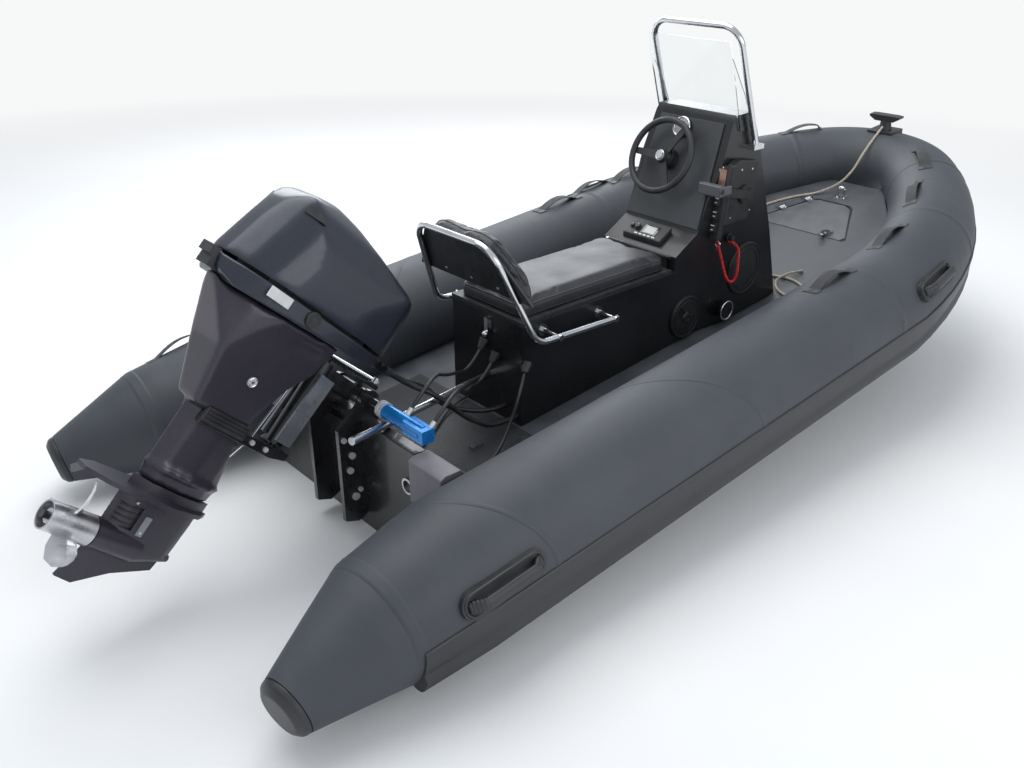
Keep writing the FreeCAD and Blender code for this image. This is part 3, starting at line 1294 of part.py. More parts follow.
def make_deck_fittings(deck, mat):
    z = deck_height(RING_X)
    plate = box(RING_X - 22.0, RING_X + 22.0, -32.0, 32.0, z - 12.0, z + 14.0)
    slope = deck_slab(4.0, 4.0)
    plate = plate.common(slope)
    loop = bent_tube([V(RING_X, -20.0, z + 3.0), V(RING_X, -20.0, z + 52.0), V(RING_X, 20.0, z + 52.0),
                      V(RING_X, 20.0, z + 3.0)], 15.0, 5.0, CORD_SIDES)
    ring = rod(V(0.0, DRAIN_AT[0], DRAIN_AT[1]), V(-9.0, DRAIN_AT[0], DRAIN_AT[1]), 30.0)
    ring = ring.cut(rod(V(1.0, DRAIN_AT[0], DRAIN_AT[1]), V(-10.0, DRAIN_AT[0], DRAIN_AT[1]), 22.0))
    fittings = [fused([plate, loop]), ring]
    for x, y in DECK_CLIPS:
        z = deck_height(x) + MAT_THICK
        clip = box(x - 26.0, x + 26.0, y - 14.0, y + 14.0, z - 6.0, z + 16.0)
        fittings.append(clip.cut(mat).cut(deck))
    return fittings


def make_mat():
    x0, x1 = MAT_X
    rows = [(x0, deck_height(x0)), (x1, deck_height(x1)), (x1, deck_height(x1) + MAT_THICK),
            (x0, deck_height(x0) + MAT_THICK)]
    return prism_y(rows, -MAT_HALF, MAT_HALF)


def rope_points():
    points = [V(*ROPE_START)] + [V(*row) for row in ROPE_AIR]
    for x, y, lift in ROPE_PLAN:
        points.append(V(x, y, deck_height(x) + ROPE_R + ROPE_LIE + lift))
    return points


def make_cords(bitt, strip, console):
    cables = []
    for k, rows in enumerate(CABLE_ROWS):
        points = [gland_point(k, 0.0), gland_point(k, GLAND_RUN)] + [V(*row) for row in rows]
        cables.append(cord(points, CABLE_R))
    hoses = []
    for k, rows in enumerate(HOSE_ROWS):
        points = [boot_point(k, 0.0), boot_point(k, BOOT_RUN)] + [V(*row) for row in rows]
        if k < len(FITTING_Y):
            points = points + [fitting_point(FITTING_Y[k], FITTING_RUN), fitting_point(FITTING_Y[k], 0.0)]
        hoses.append(cord(points, HOSE_R))
    return {
        "rigging_cables": cables,
        "hydraulic_hoses": hoses,
        "deck_hose": [cord([V(*row) for row in DECK_HOSE_ROWS], DECK_HOSE_R)],
        "bow_rope": [largest(cord(rope_points(), ROPE_R).cut(bitt))],
        "kill_cord": [largest(cord([V(*row) for row in KILL_ROWS], KILL_R).cut(strip).cut(console))],
    }


def main():
    os.makedirs("parts", exist_ok=True)
    tubes = make_tubes()
    save("tube_collar", tubes)
    save("tube_end_caps", *make_end_caps())
    strake = make_strake(tubes)
    save("rub_strake", strake)
    save("lifting_handles", *make_handles(tubes))
    save("hand_straps", *make_straps(tubes))
    bitt = make_bitt(tubes)
    save("bow_bitt", bitt)
    hull = make_hull(tubes)
    deck = make_deck(tubes)
    locker = prism_z(clipped(hatch_rows(-14.0), HATCH_CORNER), -200.0, 1000.0)
    seat_cut = prism_z(clipped(hatch_rows(HATCH_GAP), HATCH_CORNER - 4.0), -200.0, 1000.0)
    locker_deep = locker.common(deck_slab(5.0, LOCKER_DEEP + 5.0))
    lid_space = seat_cut.common(deck_slab(5.0, HATCH_THICK + 5.0))
    deck = deck.cut(lid_space).cut(locker_deep)
    hull = hull.cut(locker_deep)
    hull = hull.cut(box(-10, TRANSOM_THICK, -700, 700, DECK_Z - 200, 800))
    transom = box(0, TRANSOM_THICK, -TRANSOM_HALF, TRANSOM_HALF, DECK_Z - 200, TRANSOM_TOP)
    knee = make_knees(tubes)
    knees = both_sides(knee)
    transom = largest(transom.cut(tubes).cut(knees[0]).cut(knees[1]))
    save("hull", largest(hull))
    save("deck", largest(deck))
    mat = make_mat()
    save("deck_mat", mat)
    save("transom", transom)
    save("transom_knees", *knees)
    lid = prism_z(clipped(hatch_rows(0.0), HATCH_CORNER), -200.0, 1000.0)
    lid = lid.common(deck_slab(0.0, HATCH_THICK))
    level = deck_height(HATCH_AFT_X)
    lid = lid.cut(prism_y([(HATCH_AFT_X - 5.0, level - 4.0), (HATCH_AFT_X, level - 4.0),
                           (HATCH_AFT_X + HATCH_UNDERCUT, level - HATCH_THICK),
                           (HATCH_AFT_X + HATCH_UNDERCUT, level - HATCH_THICK - 20.0),
                           (HATCH_AFT_X - 5.0, level - HATCH_THICK - 20.0)], -400.0, 400.0))
    save("bow_hatch_lid", lid)
    lid_hinges, deck_hinges = make_hatch_hinges()
    save("hatch_furniture", make_hatch_latch(), *lid_hinges)
    console = make_console()
    save("console", console)
    controls = make_controls(console)
    for group in (make_dash(console), controls, make_seat(), make_engine()):
        for name, shapes in group.items():
            save(name, *shapes)
    wheel, cap = make_wheel()
    save("steering_wheel", wheel)
    save("wheel_cap", cap)
    bracket, bolts = make_clamp()
    save("clamp_bracket", bracket)
    cylinder, clamps = make_cylinder()
    save("steering_cylinder", cylinder)
    save("bracket_fittings", *bolts, *clamps)
    save("console_hoop", make_hoop(console))
    save("windscreen", make_windscreen(console))
    frame, board, pad = make_backrest()
    save("backrest_frame", frame)
    save("backrest_board", board)
    save("backrest_pad", pad)
    save("deck_fittings", *make_deck_fittings(deck, mat), *deck_hinges)
    save("paddle_shaft", rod(V(*PADDLE_ENDS[0]), V(*PADDLE_ENDS[1]), PADDLE_R))
    for name, shapes in make_cords(bitt, controls["switch_strip"][0], console).items():
        save(name, *shapes)


main()
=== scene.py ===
import json
import math

import bmesh
import bpy
from mathutils import Matrix, Vector


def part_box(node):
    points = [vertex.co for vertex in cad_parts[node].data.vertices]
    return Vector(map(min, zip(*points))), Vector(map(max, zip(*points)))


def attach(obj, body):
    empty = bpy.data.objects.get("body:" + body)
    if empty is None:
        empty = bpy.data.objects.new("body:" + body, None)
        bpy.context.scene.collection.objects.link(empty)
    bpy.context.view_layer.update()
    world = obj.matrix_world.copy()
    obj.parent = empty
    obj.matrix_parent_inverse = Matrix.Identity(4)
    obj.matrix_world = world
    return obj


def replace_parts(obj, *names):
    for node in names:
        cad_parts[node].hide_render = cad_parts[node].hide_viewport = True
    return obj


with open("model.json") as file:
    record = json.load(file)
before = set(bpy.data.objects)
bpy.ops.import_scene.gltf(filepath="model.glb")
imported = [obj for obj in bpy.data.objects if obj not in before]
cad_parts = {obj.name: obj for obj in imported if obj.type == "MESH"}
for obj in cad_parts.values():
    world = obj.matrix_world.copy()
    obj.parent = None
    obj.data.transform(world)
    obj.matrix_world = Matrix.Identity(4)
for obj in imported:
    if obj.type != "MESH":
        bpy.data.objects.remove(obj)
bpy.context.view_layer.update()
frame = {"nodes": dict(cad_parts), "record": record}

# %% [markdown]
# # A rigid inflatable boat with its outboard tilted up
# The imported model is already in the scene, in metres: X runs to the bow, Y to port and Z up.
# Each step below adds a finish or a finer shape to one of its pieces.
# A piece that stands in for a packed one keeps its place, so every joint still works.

body_of_node = {}
for body, members in frame["record"]["behaviour"]["bodies"].items():
    for member in members:
        body_of_node[member] = body
slot_of_node = {row["node"]: row["material_slot"] for row in frame["record"]["subparts"]}
print("nodes in the frame:", len(body_of_node))

# %% [markdown]
# ## Camera
# The picture was taken from behind the starboard quarter, standing up, looking down at the boat.
# The eye point, the heading and the dip below were measured once and give the same view.

# %% Camera
eye = Vector((-1.5517, -2.6372, 2.046))
heading = math.radians(48.42)
dip = math.radians(26.64)
look = Vector((math.cos(dip) * math.cos(heading), math.cos(dip) * math.sin(heading),
               -math.sin(dip)))
camera_data = bpy.data.cameras.new("quarter_view")
camera_data.sensor_width = 36.0
camera_data.lens = 33.94
camera_data.clip_end = 500.0
camera = bpy.data.objects.new("quarter_view", camera_data)
camera.location = eye
camera.rotation_euler = look.to_track_quat("-Z", "Y").to_euler()
bpy.context.scene.collection.objects.link(camera)
bpy.context.scene.camera = camera
bpy.context.scene.view_settings.view_transform = "Standard"
print("camera looks along", [round(part, 3) for part in look])

# %% [markdown]
# ## Floor and light
# The boat is shown afloat, so the floor lies at its waterline, at height zero.
# A dark boat is read by what it mirrors: a pale world and wide lamps give long soft highlights
# on the tubes, as an overcast sky does.

# %% Floor and light
def pale_world():
    world = bpy.data.worlds.new("pale_sky")
    bpy.context.scene.world = world
    world.use_nodes = True
    nodes, links = world.node_tree.nodes, world.node_tree.links
    nodes.clear()
    out = nodes.new("ShaderNodeOutputWorld")
    seen = nodes.new("ShaderNodeBackground")
    seen.inputs["Color"].default_value = (0.93, 0.94, 0.95, 1.0)
    seen.inputs["Strength"].default_value = 1.0
    light = nodes.new("ShaderNodeBackground")
    light.inputs["Color"].default_value = (0.90, 0.95, 1.0, 1.0)
    light.inputs["Strength"].default_value = 0.62
    which = nodes.new("ShaderNodeMixShader")
    path = nodes.new("ShaderNodeLightPath")
    links.new(path.outputs["Is Camera Ray"], which.inputs[0])
    links.new(light.outputs[0], which.inputs[1])
    links.new(seen.outputs[0], which.inputs[2])
    links.new(which.outputs[0], out.inputs["Surface"])


def soft_lamp(name, place, aim, size, power, colour=(1.0, 1.0, 1.0)):
    data = bpy.data.lights.new(name, "AREA")
    data.shape = "RECTANGLE"
    data.size, data.size_y = size
    data.energy = power
    data.color = colour
    lamp = bpy.data.objects.new(name, data)
    lamp.location = place
    lamp.rotation_euler = (Vector(aim) - Vector(place)).to_track_quat("-Z", "Y").to_euler()
    bpy.context.scene.collection.objects.link(lamp)


pale_world()
soft_lamp("top_light", (1.0, 1.2, 5.0), (1.2, 0.0, 0.4), (6.0, 4.0), 210.0)
soft_lamp("side_light", (1.6, -5.2, 2.6), (1.2, 0.0, 0.4), (5.0, 2.2), 90.0)
soft_lamp("far_light", (4.5, 5.0, 3.4), (1.2, 0.2, 0.4), (6.0, 2.5), 190.0, (0.94, 0.97, 1.0))
floor_bm = bmesh.new()
bmesh.ops.create_grid(floor_bm, x_segments=1, y_segments=1, size=150.0)
floor_mesh = bpy.data.meshes.new("floor")
floor_bm.to_mesh(floor_mesh)
floor = bpy.data.objects.new("floor", floor_mesh)
bpy.context.scene.collection.objects.link(floor)

# %% [markdown]
# ## How a finish is made
# Every finish is a Principled shader fed by patterns on Object coordinates, so nothing slides.
# One wide pattern varies the colour and the gloss, as handling and dirt do.
# One fine pattern raises the surface, as grain, weave or a cast skin does.

# %% A finish from patterns
def start_finish(name):
    finish = bpy.data.materials.new(name)
    finish.use_nodes = True
    tree = finish.node_tree
    shader = tree.nodes["Principled BSDF"]
    coord = tree.nodes.new("ShaderNodeTexCoord")
    return finish, tree, shader, coord.outputs["Object"]


def add_node(tree, kind, values, feeds):
    node = tree.nodes.new("ShaderNode" + kind)
    for socket, value in values.items():
        node.inputs[socket].default_value = value
    for socket, source in feeds.items():
        tree.links.new(source, node.inputs[socket])
    return node


def mapped(tree, source, stretch):
    return add_node(tree, "Mapping", {"Scale": stretch}, {"Vector": source}).outputs["Vector"]


def noise(tree, source, scale, detail=4.0, rough=0.5):
    values = {"Scale": scale, "Detail": detail, "Roughness": rough}
    return add_node(tree, "TexNoise", values, {"Vector": source}).outputs["Fac"]


def cells(tree, source, scale, random=1.0):
    values = {"Scale": scale, "Randomness": random}
    return add_node(tree, "TexVoronoi", values, {"Vector": source}).outputs["Distance"]


def spread(tree, source, low, high, start=0.3, end=0.7):
    values = {"From Min": start, "From Max": end, "To Min": low, "To Max": high}
    return add_node(tree, "MapRange", values, {"Value": source}).outputs["Result"]


def two_colours(tree, source, first, second, start=0.35, end=0.65):
    node = add_node(tree, "ValToRGB", {}, {"Fac": source})
    for element, place, colour in zip(node.color_ramp.elements, (start, end), (first, second)):
        element.position = place
        element.color = (*colour, 1.0)
    return node.outputs["Color"]


def raised(tree, source, height, strength=1.0, under=None):
    feeds = {"Height": source} if under is None else {"Height": source, "Normal": under}
    values = {"Strength": strength, "Distance": height}
    return add_node(tree, "Bump", values, feeds).outputs["Normal"]


def set_values(shader, **values):
    for socket, value in values.items():
        shader.inputs[socket.replace("_", " ")].default_value = value


def make_finish(name, first, second, patch, rough, grain, height, metal=0.0, coat=0.0,
                stretch=(1, 1, 1), cellular=False):
    finish, tree, shader, place = start_finish(name)
    wide = noise(tree, place, patch)
    tree.links.new(two_colours(tree, wide, first, second), shader.inputs["Base Color"])
    fine_place = mapped(tree, place, stretch)
    fine = cells(tree, fine_place, grain) if cellular else noise(tree, fine_place, grain, 3.0)
    tree.links.new(spread(tree, wide, *rough), shader.inputs["Roughness"])
    tree.links.new(raised(tree, fine, height), shader.inputs["Normal"])
    set_values(shader, Metallic=metal)
    if coat:
        set_values(shader, Coat_Weight=coat, Coat_Roughness=0.06)
    return finish


finishes = {}

# %% [markdown]
# ## Plastics, paints and metals
# The console is black gelcoat, polished but a little uneven. The deck is a grey gelcoat with a
# moulded grip. Cast engine pieces carry a thick gloss paint, with metal flakes on the cowl.
# Stainless rails are bright, with faint lines left by the polishing wheel. The small fittings
# have white marks, a pale dial, a dark glass and a light grey grip.

# %% Plastics, paints and metals
FINISH_ROWS = (
    # name, first colour, second, patch scale, roughness, grain scale, grain height, extras
    ("hull_gelcoat", (0.016, 0.016, 0.019), (0.024, 0.024, 0.028), 3.0, (0.16, 0.3), 160.0,
     0.0001, {"coat": 0.4}),
    ("deck_grey", (0.06, 0.066, 0.075), (0.085, 0.092, 0.102), 9.0, (0.35, 0.55), 420.0,
     0.0005, {"cellular": True}),
    ("hatch_grey", (0.085, 0.092, 0.102), (0.12, 0.127, 0.138), 14.0, (0.35, 0.5), 330.0,
     0.0006, {"cellular": True}),
    ("knee_grey", (0.15, 0.145, 0.165), (0.2, 0.195, 0.215), 9.0, (0.4, 0.55), 420.0,
     0.0004, {"cellular": True}),
    ("bolt_zinc", (0.62, 0.63, 0.65), (0.72, 0.73, 0.75), 30.0, (0.3, 0.42), 300.0,
     0.0001, {"metal": 0.45}),
    ("transom_black", (0.012, 0.012, 0.014), (0.02, 0.02, 0.023), 5.0, (0.2, 0.4), 240.0,
     0.0002, {"coat": 0.3}),
    ("console_gelcoat", (0.009, 0.009, 0.011), (0.014, 0.014, 0.017), 4.0, (0.26, 0.38), 55.0,
     0.0003, {"coat": 0.12}),
    ("fascia_panel", (0.034, 0.037, 0.042), (0.046, 0.05, 0.056), 5.0, (0.4, 0.5), 380.0,
     0.0001, {"coat": 0.1}),
    ("black_plastic", (0.014, 0.014, 0.016), (0.024, 0.024, 0.027), 20.0, (0.35, 0.55), 700.0,
     0.0002, {"cellular": True}),
    ("bracket_black", (0.01, 0.01, 0.012), (0.018, 0.018, 0.021), 12.0, (0.2, 0.4), 230.0,
     0.0003, {"coat": 0.5}),
    ("cheek_grey", (0.2, 0.21, 0.235), (0.27, 0.28, 0.31), 12.0, (0.2, 0.35), 300.0,
     0.0002, {"metal": 0.5, "coat": 0.4}),
    ("engine_grey", (0.12, 0.12, 0.13), (0.17, 0.17, 0.18), 12.0, (0.5, 0.7), 300.0,
     0.0006, {"metal": 0.2}),
    ("engine_trim", (0.018, 0.018, 0.021), (0.03, 0.03, 0.034), 18.0, (0.35, 0.5), 500.0,
     0.0002, {"cellular": True}),
    ("stainless", (0.62, 0.63, 0.65), (0.72, 0.73, 0.75), 9.0, (0.1, 0.22), 260.0,
     0.00006, {"metal": 1.0, "stretch": (1, 1, 9)}),
    ("chrome", (0.78, 0.79, 0.81), (0.85, 0.86, 0.88), 9.0, (0.05, 0.12), 300.0,
     0.00003, {"metal": 1.0}),
    ("prop_steel", (0.56, 0.56, 0.58), (0.7, 0.7, 0.72), 12.0, (0.22, 0.4), 340.0,
     0.0001, {"metal": 1.0, "stretch": (1, 6, 6)}),
    ("paddle_alloy", (0.66, 0.67, 0.7), (0.76, 0.77, 0.8), 8.0, (0.18, 0.32), 400.0,
     0.00006, {"metal": 1.0, "stretch": (9, 1, 1)}),
    ("anodised_blue", (0.008, 0.2, 0.62), (0.012, 0.26, 0.72), 16.0, (0.24, 0.34), 420.0,
     0.00005, {"metal": 0.55, "coat": 0.2, "stretch": (1, 9, 1)}),
    ("hose_black", (0.012, 0.012, 0.014), (0.024, 0.024, 0.027), 26.0, (0.3, 0.5), 420.0,
     0.0003, {}),
    ("kill_cord_red", (0.5, 0.008, 0.014), (0.62, 0.015, 0.022), 40.0, (0.2, 0.34), 300.0,
     0.0001, {"coat": 0.3}),
    ("wheel_rubber", (0.016, 0.016, 0.019), (0.028, 0.028, 0.032), 18.0, (0.4, 0.58), 620.0,
     0.0003, {"cellular": True}),
    ("handle_rubber", (0.02, 0.021, 0.024), (0.032, 0.033, 0.037), 12.0, (0.38, 0.55), 520.0,
     0.0003, {"cellular": True}),
    ("strake_rubber", (0.02, 0.021, 0.024), (0.034, 0.035, 0.04), 5.0, (0.38, 0.55), 400.0,
     0.0003, {}),
    ("cap_rubber", (0.018, 0.019, 0.022), (0.03, 0.031, 0.036), 6.0, (0.35, 0.5), 420.0,
     0.0003, {}),
    ("mark_white", (0.62, 0.63, 0.64), (0.7, 0.71, 0.72), 60.0, (0.35, 0.5), 600.0, 0.00005, {}),
    ("dial_pale", (0.42, 0.43, 0.42), (0.5, 0.51, 0.5), 60.0, (0.3, 0.4), 700.0,
     0.00003, {"coat": 0.3}),
    ("display_glass", (0.016, 0.02, 0.024), (0.03, 0.036, 0.042), 30.0, (0.04, 0.08), 200.0,
     0.00001, {"coat": 0.8}),
    ("grip_grey", (0.075, 0.08, 0.09), (0.1, 0.106, 0.117), 40.0, (0.35, 0.48), 800.0, 0.0001, {}),
    # The throttle plate's copper-red tint is a painted reddish highlight.
    ("plate_copper", (0.3, 0.17, 0.13), (0.38, 0.24, 0.19), 30.0, (0.22, 0.34), 300.0,
     0.00005, {"metal": 0.4, "coat": 0.2}),
    ("rubber_seal", (0.008, 0.008, 0.009), (0.014, 0.014, 0.016), 40.0, (0.4, 0.55), 500.0,
     0.0001, {}),
)
for name, first, second, patch, rough, grain, height, extras in FINISH_ROWS:
    finishes[name] = make_finish(name, first, second, patch, rough, grain, height, **extras)
print("plain finishes:", len(FINISH_ROWS))

# %% [markdown]
# ## Coated fabric of the tubes
# The tubes are glued from coated fabric. The coating is dull and dark grey, with a fine weave
# under it, long soft wrinkles near the seams and a little dust. Two bumps are stacked: the
# weave, and the slow swell under it.

# %% Coated fabric
def tube_fabric():
    finish, tree, shader, place = start_finish("tube_fabric")
    dust = noise(tree, place, 2.2, 6.0, 0.62)
    tree.links.new(two_colours(tree, dust, (0.046, 0.052, 0.062), (0.062, 0.069, 0.080)),
                   shader.inputs["Base Color"])
    tree.links.new(spread(tree, dust, 0.5, 0.62), shader.inputs["Roughness"])
    swell = noise(tree, mapped(tree, place, (3.2, 1.0, 1.0)), 2.6, 2.0)
    weave = cells(tree, place, 900.0, random=0.35)
    low = raised(tree, swell, 0.012, 0.5)
    tree.links.new(raised(tree, weave, 0.00016, 0.5, low), shader.inputs["Normal"])
    set_values(shader, Specular_IOR_Level=0.4)
    return finish


finishes["tube_fabric"] = tube_fabric()

# %% [markdown]
# ## Vinyl, webbing, rope and mat
# Seat vinyl has a leather-like grain of small irregular cells. Webbing is woven in two
# directions, so two wave patterns cross on it. The mat is rubber with small round studs, which
# an even cell pattern draws; the same pattern paints the ground between the studs darker, as
# painted shade.

# %% Vinyl, webbing, rope and mat
def vinyl():
    finish, tree, shader, place = start_finish("vinyl")
    wear = noise(tree, place, 7.0, 5.0)
    tree.links.new(two_colours(tree, wear, (0.020, 0.021, 0.026), (0.030, 0.031, 0.037)),
                   shader.inputs["Base Color"])
    tree.links.new(spread(tree, wear, 0.34, 0.5), shader.inputs["Roughness"])
    grain = cells(tree, place, 420.0)
    creases = noise(tree, place, 26.0, 3.0)
    low = raised(tree, creases, 0.0016, 0.35)
    tree.links.new(raised(tree, grain, 0.0004, 0.6, low), shader.inputs["Normal"])
    return finish


def webbing():
    finish, tree, shader, place = start_finish("strap_webbing")
    wear = noise(tree, place, 30.0)
    tree.links.new(two_colours(tree, wear, (0.020, 0.021, 0.025), (0.036, 0.037, 0.042)),
                   shader.inputs["Base Color"])
    heights = []
    for axis in ("X", "Y"):
        wave = add_node(tree, "TexWave", {"Scale": 140.0}, {"Vector": place})
        wave.bands_direction = axis
        heights.append(wave.outputs["Fac"])
    cross = add_node(tree, "Math", {}, {0: heights[0], 1: heights[1]})
    cross.operation = "MULTIPLY"
    tree.links.new(raised(tree, cross.outputs[0], 0.0008), shader.inputs["Normal"])
    set_values(shader, Roughness=0.62)
    return finish


def rope_fibre():
    finish, tree, shader, place = start_finish("rope_tan")
    fibre = noise(tree, place, 160.0, 4.0)
    tree.links.new(two_colours(tree, fibre, (0.30, 0.26, 0.20), (0.56, 0.51, 0.42)),
                   shader.inputs["Base Color"])
    tree.links.new(raised(tree, fibre, 0.001), shader.inputs["Normal"])
    set_values(shader, Roughness=0.8, Sheen_Weight=0.2)
    return finish


def studded_mat():
    finish, tree, shader, place = start_finish("deck_mat")
    flat = mapped(tree, place, (1.0, 1.0, 0.0))
    studs = cells(tree, flat, 95.0, random=0.0)
    # The stud tops are painted lighter and the ground between them darker: painted shade in the
    # hollows.
    tree.links.new(
        two_colours(tree, studs, (0.040, 0.043, 0.05), (0.018, 0.019, 0.023), 0.15, 0.45),
        shader.inputs["Base Color"])
    top = spread(tree, studs, 1.0, 0.0, 0.18, 0.42)
    tree.links.new(raised(tree, top, 0.0016), shader.inputs["Normal"])
    set_values(shader, Roughness=0.5)
    return finish


finishes["vinyl"] = vinyl()
finishes["strap_webbing"] = webbing()
finishes["rope_tan"] = rope_fibre()
finishes["deck_mat"] = studded_mat()

# %% [markdown]
# ## Cowl paint and clear acrylic
# The cowl is painted a blue so deep that it looks black, with fine metal flakes under a thick
# clear coat. The windscreen is a clear acrylic sheet, so nearly all of its light goes through.

# %% Cowl paint and clear acrylic
FLAKE_SCALE = 900.0


def flake_paint(name, deep, flake):
    finish, tree, shader, place = start_finish(name)
    flakes = noise(tree, place, FLAKE_SCALE, 2.0)
    tree.links.new(two_colours(tree, flakes, deep, flake, 0.45, 0.72), shader.inputs["Base Color"])
    peel = noise(tree, place, 60.0, 2.0)
    tree.links.new(raised(tree, peel, 0.0002, 0.4), shader.inputs["Normal"])
    tree.links.new(spread(tree, flakes, 0.44, 0.34), shader.inputs["Roughness"])
    set_values(shader, Metallic=0.4, Coat_Weight=0.3, Coat_Roughness=0.12)
    return finish


def clear_acrylic():
    finish, tree, shader, place = start_finish("clear_acrylic")
    haze = noise(tree, place, 5.0)
    tree.links.new(two_colours(tree, haze, (0.93, 0.955, 0.96), (0.97, 0.985, 0.99)),
                   shader.inputs["Base Color"])
    tree.links.new(spread(tree, haze, 0.02, 0.05), shader.inputs["Roughness"])
    set_values(shader, Transmission_Weight=1.0, IOR=1.2)
    return finish


def pale_floor():
    # Near the boat the floor takes its shadow; far away it turns into an even white backdrop.
    finish, tree, shader, place = start_finish("pale_floor")
    cloud = noise(tree, place, 0.7, 3.0)
    tree.links.new(two_colours(tree, cloud, (0.80, 0.81, 0.82), (0.84, 0.845, 0.85)),
                   shader.inputs["Base Color"])
    set_values(shader, Roughness=0.8)
    reach = add_node(tree, "VectorMath", {}, {0: place})
    reach.operation = "LENGTH"
    far = spread(tree, reach.outputs["Value"], 0.0, 1.0, 4.0, 9.0)
    path = tree.nodes.new("ShaderNodeLightPath").outputs
    seen = add_node(tree, "Math", {}, {0: path["Is Camera Ray"], 1: path["Is Glossy Ray"]})
    seen.operation = "MAXIMUM"
    share = add_node(tree, "Math", {}, {0: far, 1: seen.outputs[0]})
    share.operation = "MULTIPLY"
    glow = add_node(tree, "Emission", {"Color": (0.93, 0.935, 0.94, 1.0)}, {})
    both = add_node(tree, "MixShader", {},
                    {0: share.outputs[0], 1: shader.outputs[0], 2: glow.outputs[0]})
    tree.links.new(both.outputs[0], tree.nodes["Material Output"].inputs["Surface"])
    return finish


for name, deep, flake in (("cowl_blueblack", (0.020, 0.023, 0.036), (0.055, 0.062, 0.085)),
                          ("leg_purplegrey", (0.034, 0.030, 0.044), (0.085, 0.078, 0.10))):
    finishes[name] = flake_paint(name, deep, flake)
finishes["clear_acrylic"] = clear_acrylic()
floor.data.materials.append(pale_floor())
print("finishes:", sorted(finishes))


# %% [markdown]
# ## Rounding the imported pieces
# A moulded or cast piece has no knife edges: a small round catches a line of light along each.
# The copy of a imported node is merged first, its flat triangles are joined into whole faces, and
# then only the edges that really turn are bevelled. The copy replaces the node it came from.

# %% Copy a node and round its edges
def copy_of(node):
    bm = bmesh.new()
    bm.from_mesh(frame["nodes"][node].data)
    bmesh.ops.remove_doubles(bm, verts=bm.verts, dist=0.00002)
    bmesh.ops.dissolve_limit(bm, angle_limit=math.radians(0.6), verts=bm.verts, edges=bm.edges)
    return bm


def turning_edges(bm, degrees):
    limit = math.radians(degrees)
    return [e for e in bm.edges if len(e.link_faces) == 2 and e.calc_face_angle(0.0) > limit]


def bevel_edges(bm, edges, width, segments):
    bmesh.ops.bevel(bm, geom=edges, offset=width, offset_type="OFFSET", segments=segments,
                    profile=0.5, affect="EDGES", clamp_overlap=True, material=-1)


def place_piece(bm, name, body, finish, sharp=38.0):
    for face in bm.faces:
        face.smooth = True
    for edge in turning_edges(bm, sharp):
        edge.smooth = False
    mesh = bpy.data.meshes.new(name)
    bm.to_mesh(mesh)
    bm.free()
    piece = bpy.data.objects.new(name, mesh)
    bpy.context.scene.collection.objects.link(piece)
    mesh.materials.append(finishes[finish])
    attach(piece, body)
    return piece


def even_shading(piece):
    rule = piece.modifiers.new("even_shading", "WEIGHTED_NORMAL")
    rule.keep_sharp = True
    rule.weight = 60
    return piece


def dress(node, width, segments, finish):
    bm = copy_of(node)
    if width:
        bevel_edges(bm, turning_edges(bm, 34.0), width, segments)
    piece = place_piece(bm, node + "_rounded", body_of_node[node], finish)
    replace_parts(even_shading(piece), node)
    return piece


DRESS_ROWS = (
    # node, round in metres, segments
    ("hull", 0.006, 2),
    ("deck", 0.004, 2),
    ("deck_mat", 0.001, 1),
    ("transom", 0.004, 2),
    ("transom_knees", 0.003, 2),
    ("console", 0.009, 3),
    ("fascia", 0.002, 2),
    ("gauge", 0.001, 2),
    ("helm", 0.002, 2),
    ("instrument_unit", 0.004, 3),
    ("control_box", 0.008, 3),
    ("switch_strip", 0.003, 2),
    ("throttle_lever", 0.006, 3),
    ("side_hatches", 0.002, 2),
    ("hose_boots", 0.001, 1),
    ("seat_board", 0.001, 2),
    ("seat_fittings", 0.001, 2),
    ("backrest_board", 0.002, 2),
    ("backrest_frame", 0.0, 1),
    ("console_hoop", 0.0, 1),
    ("windscreen", 0.0, 1),
    ("bow_hatch_lid", 0.003, 2),
    ("hatch_furniture", 0.001, 2),
    ("bow_bitt", 0.006, 3),
    ("deck_fittings", 0.001, 2),
    ("tube_end_caps", 0.006, 3),
    ("clamp_bracket", 0.003, 2),
    ("bracket_fittings", 0.001, 2),
    ("steering_cylinder", 0.002, 2),
    ("paddle_shaft", 0.001, 2),
    ("swivel_bracket", 0.003, 2),
    ("swivel_cheeks", 0.003, 2),
    ("steering_link", 0.001, 2),
    ("steering_arm", 0.003, 2),
    ("lower_mount", 0.006, 3),
    ("powerhead", 0.004, 2),
    ("cowl_pan", 0.008, 3),
    ("gearcase", 0.004, 3),
    ("engine_trim", 0.002, 2),
    ("engine_bolts", 0.002, 2),
    ("shift_rod", 0.0, 1),
    ("propeller", 0.001, 2),
    ("wheel_cap", 0.001, 2),
    ("steering_wheel", 0.001, 2),
)
OTHER_FINISH = {"transom_knees": "knee_grey", "bracket_fittings": "bolt_zinc",
                "engine_bolts": "bolt_zinc"}
dressed = {}
for node, width, segments in DRESS_ROWS:
    finish = OTHER_FINISH.get(node, slot_of_node[node])
    dressed[node] = dress(node, width, segments, finish)
print("rounded pieces:", len(dressed))

# %% [markdown]
# ## Hoses, cables and ropes
# A hose is a length of something flexible, so it is drawn as one smooth spline.
# The spline's control points are the route's own corners, and it rounds them by itself.
# Its order is set after its points are there, because it falls back to straight runs otherwise.

# %% One smooth line through a route
def new_curve(name, radius, fineness):
    curve = bpy.data.curves.new(name, "CURVE")
    curve.dimensions = "3D"
    curve.bevel_depth = radius
    curve.bevel_resolution = fineness
    return curve


def add_spline(curve, kind, points):
    spline = curve.splines.new(kind)
    spline.points.add(len(points) - 1)
    for point, place in zip(spline.points, points):
        point.co = (*place, 1.0)
    return spline


def route_curve(name, points, radius):
    curve = new_curve(name, radius, 4)
    curve.resolution_u = 10
    spline = add_spline(curve, "NURBS", points)
    spline.order_u = 3
    spline.use_endpoint_u = True
    return curve


